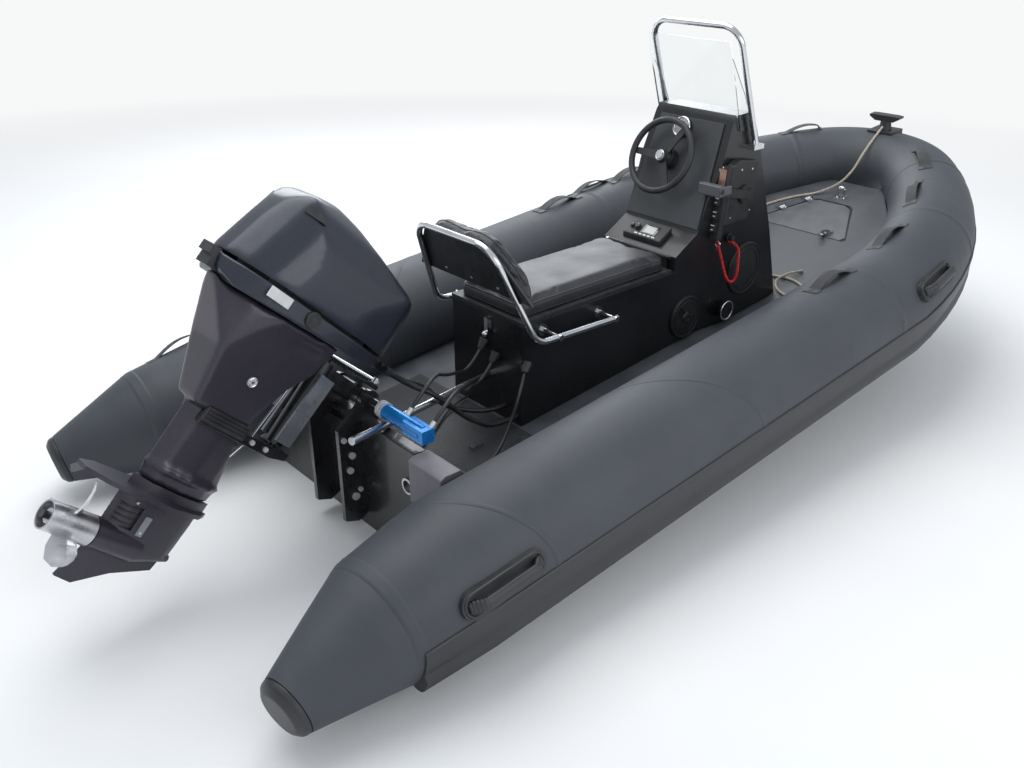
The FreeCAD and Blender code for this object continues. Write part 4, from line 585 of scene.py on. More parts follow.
def meshed(curve):
    holder = bpy.data.objects.new(curve.name, curve)
    mesh = bpy.data.meshes.new_from_object(holder)
    bpy.data.objects.remove(holder)
    for face in mesh.polygons:
        face.use_smooth = True
    return mesh


def smooth_line(points):
    mesh = meshed(route_curve("route_line", points, 0.0))
    line = [vert.co.copy() for vert in mesh.vertices]
    bpy.data.meshes.remove(mesh)
    return line


def length_of(line):
    return sum((b - a).length for a, b in zip(line, line[1:]))


def show(piece, body, finish):
    bpy.context.scene.collection.objects.link(piece)
    piece.data.materials.append(finishes[finish])
    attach(piece, body)
    return piece


CORD_ROWS = (
    # name, node, radius, stiffness, points in metres from its exit
    ("throttle_cable", "rigging_cables", 0.010, "stiff",
     ((0.1284, -0.100, 0.5799), (0.1906, -0.100, 0.5177), (0.305, -0.146, 0.444),
      (0.400, -0.165, 0.335), (0.500, -0.185, 0.262), (0.590, -0.180, 0.250),
      (0.655, -0.180, 0.250))),
    ("engine_harness", "rigging_cables", 0.010, "stiff",
     ((0.1284, -0.066, 0.5799), (0.1906, -0.066, 0.5177), (0.322, -0.060, 0.440),
      (0.400, -0.030, 0.330), (0.500, -0.060, 0.280), (0.590, -0.110, 0.270),
      (0.655, -0.110, 0.270))),
    ("steering_hose_upper", "hydraulic_hoses", 0.0065, "medium",
     ((0.6255, 0.0038, 0.4825), (0.5607, -0.0055, 0.4177), (0.470, -0.050, 0.450),
      (0.330, -0.150, 0.520), (0.1751, -0.300, 0.6351), (0.0775, -0.300, 0.5375))),
    ("steering_hose_lower", "hydraulic_hoses", 0.0065, "medium",
     ((0.6255, -0.0642, 0.4485), (0.5607, -0.0735, 0.3837), (0.470, -0.130, 0.425),
      (0.360, -0.230, 0.470), (0.1751, -0.424, 0.6351), (0.0775, -0.424, 0.5375))),
    ("fuel_hose", "hydraulic_hoses", 0.0065, "medium",
     ((0.6505, -0.2261, 0.4529), (0.5857, -0.2723, 0.4067), (0.540, -0.276, 0.310),
      (0.460, -0.305, 0.232), (0.330, -0.350, 0.206), (0.170, -0.384, 0.212),
      (0.050, -0.384, 0.212))),
    ("deck_hose_line", "deck_hose", 0.004, "medium",
     ((0.655, 0.110, 0.228), (0.600, 0.110, 0.228), (0.500, 0.080, 0.210),
      (0.400, 0.015, 0.1995), (0.263, -0.056, 0.1865), (0.140, -0.110, 0.176),
      (0.050, -0.110, 0.176))),
)
for name, node, radius, stiffness, points in CORD_ROWS:
    piece = bpy.data.objects.new(name, route_curve(name, points, radius))
    show(piece, "boat", "hose_black")
    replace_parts(piece, node)
    long = length_of(smooth_line(points))
    print(name, round(long, 3), "m")

# %% [markdown]
# ## The bow rope
# The mooring rope is laid from strands. Each strand is a helix round the route's smooth line.
# The turning frame is carried along the line, so the strands don't flip at a bend.

# %% Strands round a line
def even_steps(line, step):
    total = length_of(line)
    count = max(2, int(total / step))
    steps = []
    index, passed = 0, 0.0
    for k in range(count + 1):
        goal = total * k / count
        while index < len(line) - 2 and passed + (line[index + 1] - line[index]).length < goal:
            passed += (line[index + 1] - line[index]).length
            index += 1
        run = line[index + 1] - line[index]
        steps.append(line[index] + run * min(1.0, (goal - passed) / max(run.length, 1e-9)))
    return steps


def helix_round(steps, reach, pitch, phase):
    side = (steps[1] - steps[0]).normalized().orthogonal().normalized()
    gone = 0.0
    points = []
    for k, at in enumerate(steps):
        ahead = (steps[min(k + 1, len(steps) - 1)] - steps[max(k - 1, 0)]).normalized()
        side = (side - ahead * side.dot(ahead)).normalized()
        over = ahead.cross(side)
        turn = 2 * math.pi * gone / pitch + phase
        points.append(at + side * (reach * math.cos(turn)) + over * (reach * math.sin(turn)))
        if k + 1 < len(steps):
            gone += (steps[k + 1] - at).length
    return points


def strand_mesh(name, lines, radius, fineness=2):
    curve = new_curve(name, radius, fineness)
    curve.use_fill_caps = True
    for line in lines:
        add_spline(curve, "POLY", line)
    return bpy.data.objects.new(name, meshed(curve))


def deck_top(x):
    return 0.150 + 0.0957 * x if x < 2.2 else 0.36054 + 0.27 * (x - 2.2)


ROPE_STEP, STRAND_REACH, STRAND_R, ROPE_PITCH = 0.0045, 0.0031, 0.0034, 0.042
ROPE_HEAD = ((3.488, 0.0, 0.950), (3.340, -0.005, 0.866), (3.215, 0.006, 0.704))
ROPE_LIES = (
    (3.135, 0.112, 0.0), (3.045, 0.218, 0.0), (2.905, 0.305, 0.0), (2.740, 0.345, 0.0),
    (2.520, 0.260, 0.0), (2.400, 0.060, 0.0), (2.336, -0.100, 0.0), (2.376, -0.264, 0.0),
    (2.302, -0.390, 0.0), (2.222, -0.318, 0.0), (2.290, -0.196, 0.002), (2.366, -0.214, 0.021),
    (2.450, -0.255, 0.0),
)
rope_route = list(ROPE_HEAD) + [(x, y, deck_top(x) + 0.0068 + lift) for x, y, lift in ROPE_LIES]
rope_line = smooth_line(rope_route)
rope_steps = even_steps(rope_line, ROPE_STEP)
rope_strands = [helix_round(rope_steps, STRAND_REACH, ROPE_PITCH, 2 * math.pi * k / 3)
                for k in range(3)]
rope = strand_mesh("bow_rope_laid", rope_strands, STRAND_R)
show(rope, "boat", "rope_tan")
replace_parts(rope, "bow_rope")
whipping_line = helix_round(even_steps(rope_line, 0.0008)[-34:], 0.0064, 0.0022, 0.0)
whipping = strand_mesh("rope_whipping", [whipping_line], 0.0011, 1)
show(whipping, "boat", "rope_tan")
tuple(rope_route[0])
length_of(rope_line)
print("rope", round(length_of(rope_line), 3), "m")

# %% [markdown]
# ## The red safety cord
# The engine's safety cord is a springy red coil that hangs in a U from the switch.
# One thin helix round the route's line gives it, close enough that its turns nearly touch.

# %% Safety cord
KILL_ROUTE = ((1.838, -0.2373, 0.716), (1.838, -0.292, 0.716), (1.842, -0.298, 0.640),
              (1.836, -0.300, 0.552), (1.779, -0.298, 0.548), (1.764, -0.266, 0.648),
              (1.747, -0.245, 0.742))
kill_line = smooth_line(KILL_ROUTE)
kill_steps = even_steps(kill_line, 0.0009)
kill = strand_mesh("safety_cord_coil", [helix_round(kill_steps, 0.0052, 0.0066, 0.0)], 0.0024, 1)
show(kill, "boat", "kill_cord_red")
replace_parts(kill, "kill_cord")
length_of(kill_line)
print("safety cord", round(length_of(kill_line), 3), "m")

# %% [markdown]
# ## The tube collar
# The collar is an inflated tube that narrows to a cone at each stern end and turns at the bow.
# One ring of points is extruded from station to station, so the skin is a single sheet of even
# quads that shades smoothly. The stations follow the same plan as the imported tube.

# %% Stations along the collar
SEAM_X, BOW_X, TUBE_Y, BOW_TURN = 2.2, 3.51, 0.772, math.radians(42.0)
TUBE_R, BOW_R, STERN_X, CONE_X = 0.232, 0.180, -0.738, -0.42
COLLAR_Z, SHEER, BOW_RISE = 0.267, 0.0957, 0.20
COLLAR_SIDES = 64
STERN_ROWS = (
    # x, y, z and radius of the stern cone's rings and of the straight tube
    (STERN_X, 0.836, 0.155, 0.094),
    (CONE_X, 0.790, 0.222, 0.202),
    (-0.15, TUBE_Y, 0.2526, TUBE_R),
    (SEAM_X, TUBE_Y, 0.4775, TUBE_R),
)
STERN_LEANS = {STERN_X: (1, -0.15, 0.2), CONE_X: (1, -0.08, 0.14)}
tube_sin, tube_cos = math.sin(BOW_TURN), math.cos(BOW_TURN)
# Two arcs round the bow, a wide one and a tight one, that meet at the same slope.
wide_arc = (((BOW_X - SEAM_X) * tube_cos - TUBE_Y * (1 - tube_sin))
            / (tube_sin * tube_cos - (1 - tube_cos) * (1 - tube_sin)))
tight_arc = (TUBE_Y - wide_arc * (1 - tube_cos)) / tube_cos


def collar_height(x):
    return COLLAR_Z + SHEER * min(x, SEAM_X) + BOW_RISE * max(0.0, x - SEAM_X)


def bow_station(turn, side):
    if turn <= BOW_TURN:
        x = SEAM_X + wide_arc * math.sin(turn)
        y = TUBE_Y - wide_arc * (1 - math.cos(turn))
    else:
        x = SEAM_X + wide_arc * tube_sin + tight_arc * (math.sin(turn) - tube_sin)
        y = tight_arc * math.cos(turn)
    part = (x - SEAM_X) / (BOW_X - SEAM_X)
    # The rings lean with the tube's rise, and settle to it where the bow begins to turn.
    rise = BOW_RISE - 0.05 * (1.0 - min(1.0, turn / 0.2))
    ahead = Vector((math.cos(turn), -math.sin(turn), rise * math.cos(turn))).normalized()
    at = Vector((x, y, collar_height(x)))
    if side < 0:
        at.y = -at.y
        ahead = Vector((-ahead.x, ahead.y, -ahead.z))
    return at, ahead, TUBE_R + (BOW_R - TUBE_R) * part


def side_station(x, side):
    for low, high in zip(STERN_ROWS, STERN_ROWS[1:]):
        if x <= high[0]:
            break
    part = (x - low[0]) / (high[0] - low[0])
    y, z, radius = [low[k] + (high[k] - low[k]) * part for k in (1, 2, 3)]
    first = Vector(STERN_LEANS.get(low[0], (1, 0, SHEER)))
    second = Vector(STERN_LEANS.get(high[0], (1, 0, SHEER)))
    ahead = first.lerp(second, part).normalized()
    if side < 0:
        return Vector((x, -y, z)), Vector((-ahead.x, ahead.y, -ahead.z)), radius
    return Vector((x, y, z)), ahead, radius


SIDE_XS = (STERN_X, -0.66, -0.58, -0.50, CONE_X, -0.33, -0.24, -0.15, 0.1, 0.4, 0.7, 1.0, 1.3,
           1.6, 1.9, 2.08)
BOW_TURNS = [math.radians(3.75 * k) for k in range(25)]


def collar_stations(start_x=STERN_X):
    xs = [x for x in SIDE_XS if x >= start_x]
    port = [side_station(x, 1) for x in xs] + [bow_station(t, 1) for t in BOW_TURNS]
    far = [bow_station(t, -1) for t in reversed(BOW_TURNS[:-1])]
    return port + far + [side_station(x, -1) for x in reversed(xs)]


def sweep(bm, corners, stations, place):
    # A ring of points at the first station, extruded from station to station.
    row = bm.verts.layers.int.new("row")
    first = [bm.verts.new(place(k, stations[0])) for k in range(corners)]
    for k, vert in enumerate(first):
        vert[row] = k
    edges = [bm.edges.new((first[k], first[(k + 1) % corners])) for k in range(corners)]
    start = list(edges)
    for station in stations[1:]:
        made = bmesh.ops.extrude_edge_only(bm, edges=edges)["geom"]
        verts = [item for item in made if isinstance(item, bmesh.types.BMVert)]
        for vert in verts:
            vert.co = place(vert[row], station)
        edges = [item for item in made if isinstance(item, bmesh.types.BMEdge)
                 and item.verts[0] in verts and item.verts[1] in verts]
    bm.verts.layers.int.remove(bm.verts.layers.int["row"])
    return start, edges


def closed_sweep(bm, corners, stations, place):
    for loop in sweep(bm, corners, stations, place):
        bmesh.ops.edgeloop_fill(bm, edges=loop)


def ring_place(grow=0.0):
    def place(k, station):
        at, ahead, radius = station
        side = Vector((-ahead.y, ahead.x, 0.0)).normalized()
        up = ahead.cross(side)
        turn = 2 * math.pi * (k + 0.5) / COLLAR_SIDES
        reach = radius + grow
        return at + side * (reach * math.cos(turn)) + up * (reach * math.sin(turn))
    return place


collar_bm = bmesh.new()
closed_sweep(collar_bm, COLLAR_SIDES, collar_stations(), ring_place())
bmesh.ops.recalc_face_normals(collar_bm, faces=collar_bm.faces)
collar = place_piece(collar_bm, "tube_collar_smooth", "boat", "tube_fabric")
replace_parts(collar, "tube_collar")
print("collar faces:", len(collar.data.polygons))

# %% [markdown]
# ## Seams and tapes
# The tube is glued from panels that overlap, and a tape covers each joint.
# A tape is a thin band just proud of the skin. The long curved ones are where a stern panel
# laps over the next, so their edge wanders along the tube as it goes round.

# %% Seam tapes
TAPE_PROUD, TAPE_SUNK, TAPE_EDGE = 0.0011, -0.0004, 0.0015


def tape(name, station_of, centre, half, lap=0.0):
    # A band round the tube: its ends lie in the skin, and its middle stands proud of it.
    bm = bmesh.new()
    rows = ((-half, TAPE_SUNK), (TAPE_EDGE - half, TAPE_PROUD), (half - TAPE_EDGE, TAPE_PROUD),
            (half, TAPE_SUNK))

    def place(k, row):
        along, out = row
        shift = lap * math.cos(2 * math.pi * (k + 0.5) / COLLAR_SIDES)
        return ring_place(out)(k, station_of(centre + along + shift))

    sweep(bm, COLLAR_SIDES, rows, place)
    bmesh.ops.recalc_face_normals(bm, faces=bm.faces)
    return place_piece(bm, name, "boat", "tube_fabric", sharp=60.0)


def along_side(side):
    return lambda x: side_station(x, side)


def along_bow(side):
    def station(metres):
        return bow_station(max(0.0, metres) / wide_arc, side)
    return station


SIDE_TAPES = (
    # name, x of its middle, half its width, how far its edge wanders
    ("cone", CONE_X, 0.022, 0.0),
    ("stern", -0.10, 0.012, 0.19),
    ("mid", 0.83, 0.012, 0.26),
    ("fore", 2.03, 0.02, 0.0),
)
BOW_TAPES = (0.55, 1.15)
for side, tag in ((1, "port"), (-1, "starboard")):
    for name, x, half, lap in SIDE_TAPES:
        tape("tape_%s_%s" % (name, tag), along_side(side), x, half, lap)
    for k, metres in enumerate(BOW_TAPES):
        tape("tape_bow_%s_%d" % (tag, k), along_bow(side), metres, 0.02)
print("tapes:", 2 * (len(SIDE_TAPES) + len(BOW_TAPES)))

# %% [markdown]
# ## The rubbing strake
# A black rubber strake runs round the boat at its widest line: a flat band with a fluted nose
# that takes the knocks. The same sweep carries its section from stern to stern.

# %% Strake
STRAKE_SECTION = (
    # beyond the skin, degrees above the horizontal
    (-0.012, 4.0), (0.003, 3.6), (0.006, 2.6), (0.0068, -4.0), (0.0066, -12.0), (0.007, -20.0),
    (0.011, -21.4), (0.024, -24.2), (0.0275, -26.0), (0.0245, -27.4), (0.0275, -29.0),
    (0.0245, -30.4), (0.029, -32.2), (0.0285, -35.0), (0.024, -38.6), (0.016, -41.0),
    (0.006, -43.0), (-0.012, -44.0),
)


def strake_place(k, station):
    at, ahead, radius = station
    out = Vector((-ahead.y, ahead.x, 0.0)).normalized()
    depth, degrees = STRAKE_SECTION[k]
    turn = math.radians(degrees)
    reach = radius + depth
    return at + out * (reach * math.cos(turn)) + Vector((0, 0, reach * math.sin(turn)))


strake_bm = bmesh.new()
closed_sweep(strake_bm, len(STRAKE_SECTION), collar_stations(CONE_X), strake_place)
bmesh.ops.recalc_face_normals(strake_bm, faces=strake_bm.faces)
strake = place_piece(strake_bm, "rub_strake_fluted", "boat", "strake_rubber", 30.0)
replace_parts(strake, "rub_strake")
print("strake faces:", len(strake.data.polygons))

# %% [markdown]
# ## How a cushion is blown up
# A seat cushion is foam under vinyl: its panels bulge, and its corners pull in.
# Cloth with a little pressure inside gives those curves, which no single bevel does.
# The start shape is a touch small. Each point's travel is capped, and the cloth is then baked.

# %% Blow up a pad
def pad_from_cloth(name, bm, voxel, pressure, cap, keep, grow=0.0):
    mesh = bpy.data.meshes.new(name)
    bm.to_mesh(mesh)
    bm.free()
    pad = bpy.data.objects.new(name, mesh)
    scene = bpy.context.scene
    scene.collection.objects.link(pad)
    remesh = pad.modifiers.new("even_skin", "REMESH")
    remesh.mode = "VOXEL"
    remesh.voxel_size = voxel
    depsgraph = bpy.context.evaluated_depsgraph_get()
    skin = bpy.data.meshes.new_from_object(pad.evaluated_get(depsgraph))
    pad.modifiers.remove(remesh)
    pad.data = skin
    before = [vert.co.copy() for vert in skin.vertices]
    cloth = pad.modifiers.new("cloth", "CLOTH")
    cloth.settings.use_pressure = True
    cloth.settings.uniform_pressure_force = pressure
    cloth.settings.shrink_min = -grow
    cloth.settings.effector_weights.gravity = 0.0
    cloth.settings.quality = 4
    for moment in range(1, 21):
        scene.frame_set(moment)
    depsgraph = bpy.context.evaluated_depsgraph_get()
    blown = bpy.data.meshes.new_from_object(pad.evaluated_get(depsgraph))
    for vert, start, moved in zip(skin.vertices, before, blown.vertices):
        step = moved.co - start
        if step.length > cap:
            step = step * (cap / step.length)
        vert.co = start + step
    bpy.data.meshes.remove(blown)
    pad.modifiers.remove(cloth)
    scene.frame_set(1)
    for vert in skin.vertices:
        vert.co = keep(vert.co)
    for face in skin.polygons:
        face.use_smooth = True
    finer = pad.modifiers.new("finer_skin", "SUBSURF")
    finer.levels = finer.render_levels = 1
    print(name, "points:", len(skin.vertices))
    return pad


def box_bm(low, high):
    bm = bmesh.new()
    middle = (Vector(low) + Vector(high)) / 2
    size = Matrix.Diagonal((*(Vector(high) - Vector(low)), 1.0))
    bmesh.ops.create_cube(bm, size=1.0, matrix=Matrix.Translation(middle) @ size)
    return bm


WELT_SUNK = 0.001


def skin_point(piece, far, aim):
    # Where a ray from outside meets the piece's skin, and a touch further in.
    hit, at, normal, face = piece.ray_cast(far, aim)
    return [at + aim * WELT_SUNK] if hit else []


def outline_on(piece, centre, across, over, corners, reach):
    # Points round the piece's skin, in one plane through its centre.
    points = []
    for k in range(corners):
        turn = 2 * math.pi * k / corners
        aim = (across * math.cos(turn) + over * math.sin(turn)).normalized()
        points += skin_point(piece, centre + aim * reach, -aim)
    return points


def closed_tube(name, points, radius):
    curve = new_curve(name, radius, 3)
    curve.resolution_u = 3
    spline = add_spline(curve, "NURBS", points)
    spline.order_u = 3
    spline.use_cyclic_u = True
    return bpy.data.objects.new(name, meshed(curve))


def rectangle_round(low, high, z, corner):
    # A rounded rectangle in plan, as evenly spaced points.
    step = 0.02
    (x0, y0), (x1, y1) = low, high
    points = []
    for cx, cy, first in ((x1 - corner, y1 - corner, 0), (x0 + corner, y1 - corner, 90),
                          (x0 + corner, y0 + corner, 180), (x1 - corner, y0 + corner, 270)):
        for k in range(5):
            turn = math.radians(first + 22.5 * k)
            points.append(Vector((cx + corner * math.cos(turn), cy + corner * math.sin(turn), z)))
    even = []
    for a, b in zip(points, points[1:] + points[:1]):
        parts = max(1, int((b - a).length / step))
        even += [a.lerp(b, k / parts) for k in range(parts)]
    return even


# %% [markdown]
# ## The jockey seat cushion
# The long seat has a crowned top, and a welt is sewn round its upper and its lower edge.
# The cushion is blown up from a rounded box and stays flat where it lies on its board.

# %% Seat cushion
seat_low, seat_high = [Vector(corner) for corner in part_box("seat_cushion")]


def keep_in_seat(co):
    x = min(max(co.x, seat_low.x - 0.004), seat_high.x)
    y = min(max(co.y, seat_low.y - 0.006), seat_high.y + 0.006)
    return Vector((x, y, max(co.z, seat_low.z + 0.0004)))


# The start shape leaves room for the swelling: at the sides, and twice that on top.
SEAT_ROOM, SEAT_CORNER, SEAT_EDGE = 0.006, 0.045, 0.016
seat_bm = box_bm(seat_low + Vector((SEAT_ROOM, SEAT_ROOM, 0.0)),
                 seat_high - Vector((SEAT_ROOM, SEAT_ROOM, 2 * SEAT_ROOM)))
corners = [e for e in seat_bm.edges if abs(e.verts[0].co.z - e.verts[1].co.z) > 0.02]
bevel_edges(seat_bm, corners, SEAT_CORNER, 6)
upper = [e for e in seat_bm.edges if min(v.co.z for v in e.verts) > seat_high.z - 0.02]
bevel_edges(seat_bm, upper, SEAT_EDGE, 4)
cushion = pad_from_cloth("seat_cushion_soft", seat_bm, 0.0075, 4.0, 0.02, keep_in_seat)
cushion.data.materials.append(finishes["vinyl"])
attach(cushion, "seat_lid")
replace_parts(cushion, "seat_cushion")


def sewn_round(name, z, radius):
    # A welt that follows the cushion's skin at one height.
    rim = rectangle_round((seat_low.x - 0.03, seat_low.y - 0.03),
                          (seat_high.x + 0.03, seat_high.y + 0.03), z, 0.07)
    centre_y = (seat_low.y + seat_high.y) / 2
    points = []
    for far in rim:
        near = Vector((min(max(far.x, seat_low.x + 0.12), seat_high.x - 0.12), centre_y, z))
        points += skin_point(cushion, far, (near - far).normalized())
    return show(closed_tube(name, points, radius), "seat_lid", "vinyl")


seat_welt = sewn_round("seat_welt_upper", seat_high.z - 0.016, 0.0036)
seat_welt_low = sewn_round("seat_welt_lower", seat_low.z + 0.006, 0.0028)
print("seat welts:", len(seat_welt.data.vertices) + len(seat_welt_low.data.vertices))

# %% [markdown]
# ## The backrest pad
# The pad is a thick vinyl cushion on a board. Its cover is loose, so it wrinkles as it swells.
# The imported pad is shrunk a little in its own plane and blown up; the welt comes after it.

# %% Backrest pad
rest_low, rest_high = [Vector(part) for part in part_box("backrest_pad")]
rest_bm = copy_of("backrest_pad")
rest_middle = (rest_low + rest_high) / 2
rest_slope = Vector((-0.153, 0.0, 0.378)).normalized()
rest_front = Vector((rest_slope.z, 0.0, -rest_slope.x))
SHRINK_ACROSS, SHRINK_UP, SHRINK_THICK, STEP_BACK = 0.965, 0.94, 0.8, 0.005
for vert in rest_bm.verts:
    offset = vert.co - rest_middle
    across, up, ahead = offset.y, offset.dot(rest_slope), offset.dot(rest_front)
    vert.co = (rest_middle + Vector((0, across * SHRINK_ACROSS, 0)) + rest_slope * (up * SHRINK_UP)
               + rest_front * (ahead * SHRINK_THICK - STEP_BACK))
bevel_edges(rest_bm, turning_edges(rest_bm, 20.0), 0.018, 4)
back_plane = min((vert.co - rest_middle).dot(rest_front)
                 for vert in frame["nodes"]["backrest_pad"].data.vertices)


def keep_on_board(co):
    back = (co - rest_middle).dot(rest_front) - back_plane
    if back < 0.0004:
        co = co + rest_front * (0.0004 - back)
    return co


rest_pad = pad_from_cloth("backrest_pad_soft", rest_bm, 0.006, 4.0, 0.018, keep_on_board, 0.02)
rest_pad.data.materials.append(finishes["vinyl"])
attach(rest_pad, "boat")
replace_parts(rest_pad, "backrest_pad")
welt_points = outline_on(rest_pad, rest_middle + rest_front * 0.012, Vector((0, 1, 0)), rest_slope,
                         72, 0.6)
show(closed_tube("backrest_welt", welt_points, 0.0036), "boat", "vinyl")
print("backrest welt points:", len(welt_points))


# %% [markdown]
# ## Small solids set on a surface
# Screws, discs, rings and blocks are made on one drawing plane and then stood on their seat.
# The plane's X runs along the piece and its Z stands up from the surface that carries it.

# %% Small solids on a plane
def facing(at, along, up):
    z = Vector(up).normalized()
    x = Vector(along)
    x = (x - z * x.dot(z)).normalized()
    seat = Matrix((x, z.cross(x), z)).transposed().to_4x4()
    seat.translation = Vector(at)
    return seat


def soften(bm, verts, width, segments=2):
    chosen = set(verts)
    edges = [e for e in turning_edges(bm, 34.0) if e.verts[0] in chosen and e.verts[1] in chosen]
    bevel_edges(bm, edges, width, segments)


def disc(bm, seat, radius, low, high, soft=0.0, sides=32):
    middle = seat @ Matrix.Translation((0, 0, (low + high) / 2))
    made = bmesh.ops.create_cone(bm, cap_ends=True, segments=sides, radius1=radius,
                                 radius2=radius, depth=high - low, matrix=middle)
    if soft:
        soften(bm, made["verts"], soft)


def block(bm, seat, low, high, soft=0.0, segments=2):
    low, high = Vector(low), Vector(high)
    fit = Matrix.Translation((low + high) / 2) @ Matrix.Diagonal((*(high - low), 1.0))
    made = bmesh.ops.create_cube(bm, size=1.0, matrix=seat @ fit)
    if soft:
        soften(bm, made["verts"], soft, segments)


def hoop_ring(bm, seat, radius, thick, sides=40, corners=10):
    made = bmesh.ops.create_circle(
        bm, segments=corners, radius=thick,
        matrix=seat @ Matrix.Translation((radius, 0, 0)) @ Matrix.Rotation(math.pi / 2, 4, "X"))
    ring = set(made["verts"])
    edges = [edge for edge in bm.edges if edge.verts[0] in ring]
    bmesh.ops.spin(bm, geom=edges + made["verts"], cent=seat.translation,
                   axis=seat.to_3x3().col[2], angle=2 * math.pi, steps=sides, use_merge=True)


def screw(bm, seat, radius, head=0.0016):
    disc(bm, seat, radius, -0.0006, head, radius * 0.25, sides=20)
    block(bm, seat, (-radius * 0.62, -radius * 0.12, head - 0.0002),
          (radius * 0.62, radius * 0.12, head + 0.0003))


def finished(bm, name, body, slot, finish=None, sharp=38.0):
    bmesh.ops.recalc_face_normals(bm, faces=bm.faces)
    return even_shading(place_piece(bm, name, body, finish or slot, sharp))


def small_piece(name, body, slot, finish, *solids):
    # Each solid is one of the tools above, followed by its sizes.
    bm = bmesh.new()
    for tool, *sizes in solids:
        tool(bm, *sizes)
    return finished(bm, name, body, slot, finish)


# %% [markdown]
# ## Lifting handles
# Each handle is an oval rubber plate glued to the tube, with a raised rim, and a padded grip
# over it. The grip's ends are ribbed like a bellows, so that it can bend flat. One sweep gives
# grip and ribs: the section's size ripples where the ends slope down.

# %% Handles
HANDLE_LONG, HANDLE_HALF = 0.316, 0.046
GRIP_HALF, GRIP_FLAT, GRIP_UP, GRIP_END_UP = 0.140, 0.088, 0.038, 0.004
GRIP_CORNERS, GRIP_STEPS = 20, 56
GRIP_ACROSS, GRIP_THICK, RIB_PITCH = 0.0185, 0.0105, 0.0085


def handle_seat(spot, side):
    if spot == "aft":
        at, ahead, radius = Vector((-0.116, TUBE_Y, 0.2559)), Vector((1, 0.02, 0.119)), TUBE_R
        lift = 17.0
    else:
        at, ahead, radius = bow_station(math.radians(3.4), 1)
        lift = 31.0
    ahead = ahead.normalized()
    out = Vector((-ahead.y, ahead.x, 0)).normalized()
    turn = math.radians(lift)
    normal = out * math.cos(turn) + Vector((0, 0, math.sin(turn)))
    top = at + normal * radius
    for part in (top, ahead, normal):
        part.y *= side
    return facing(top, ahead, normal)


def grip_line(x):
    past = max(0.0, abs(x) - GRIP_FLAT) / (GRIP_HALF - GRIP_FLAT)
    return GRIP_UP - (GRIP_UP - GRIP_END_UP) * (0.5 - 0.5 * math.cos(math.pi * past))


def make_handle(name, seat):
    plate = bmesh.new()
    block(plate, seat, (-HANDLE_LONG / 2, -HANDLE_HALF, -0.030),
          (HANDLE_LONG / 2, HANDLE_HALF, 0.0055))
    up = seat.to_3x3().col[2]
    uprights = [e for e in plate.edges
                if abs((e.verts[0].co - e.verts[1].co).normalized().dot(up)) > 0.9]
    bevel_edges(plate, uprights, HANDLE_HALF * 0.98, 10)
    top = max(plate.faces, key=lambda face: face.calc_center_median().dot(up))
    for thick, deep in ((0.006, 0.0), (0.003, 0.005), (0.005, 0.0), (0.003, -0.005)):
        bmesh.ops.inset_region(plate, faces=[top], thickness=thick, depth=deep)
    plate_piece = finished(plate, name + "_plate", "boat", "handle_rubber", sharp=50.0)
    grip = bmesh.new()
    steps = [GRIP_HALF * (k / GRIP_STEPS) for k in range(-GRIP_STEPS, GRIP_STEPS + 1)]

    def place(k, x):
        slope = (grip_line(x + 0.0005) - grip_line(x - 0.0005)) / 0.001
        run = Vector((1, 0, slope)).normalized()
        over = Vector((-run.z, 0, run.x))
        turn = 2 * math.pi * k / GRIP_CORNERS
        past = max(0.0, abs(x) - GRIP_FLAT)
        ripple = 1.0 if past == 0.0 else 1.02 + 0.13 * math.cos(2 * math.pi * past / RIB_PITCH)
        across, high = GRIP_ACROSS * ripple, GRIP_THICK * ripple
        local = Vector((x, 0, grip_line(x))) + Vector((0, across * math.cos(turn), 0))
        return seat @ (local + over * (high * math.sin(turn)))

    closed_sweep(grip, GRIP_CORNERS, steps, place)
    return plate_piece, finished(grip, name + "_grip", "boat", "handle_rubber", sharp=80.0)


for spot in ("aft", "forward"):
    for side, tag in ((1, "port"), (-1, "starboard")):
        for piece in make_handle("handle_%s_%s" % (spot, tag), handle_seat(spot, side)):
            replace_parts(piece, "lifting_handles")
print("handles made")

# %% [markdown]
# ## Hand straps and their patches
# A strap is a band of woven webbing that arches over the tube between two glued patches.
# Patch and band are swept along the tube itself, so both lie on its curve at the bow too.

# %% Straps and patches
STRAP_LONG, STRAP_WIDE, STRAP_UP, STRAP_TAIL, STRAP_STEPS = 0.225, 0.050, 0.028, 0.03, 22
STRAP_SECTION = (
    # share of the width, height over the band's underside
    (-0.5, 0.0), (-0.47, 0.0032), (0.0, 0.0036), (0.47, 0.0032), (0.5, 0.0),
    (0.47, -0.0004), (0.0, -0.0004), (-0.47, -0.0004),
)
# Length along the tube, width round it and height over it.
PATCH_SIZE, COVER_SIZE = (0.088, 0.104, 0.0012), (0.05, 0.072, 0.0056)
STERN_PATCH = (0.062, 0.046, 0.0012)
STRAP_ROWS = (
    # x on the straight tube or None, degrees round the bow, degrees above the horizontal, side
    (1.840, 0.0, 96.0, -1), (None, 6.0, 108.0, -1), (None, 24.0, 118.0, -1),
    (None, 38.0, 105.0, -1), (1.790, 0.0, 88.0, 1), (2.080, 0.0, 76.0, 1), (None, 4.0, 86.0, 1),
    (None, 40.0, 88.0, 1), (-0.212, 0.0, 70.0, 1),
)


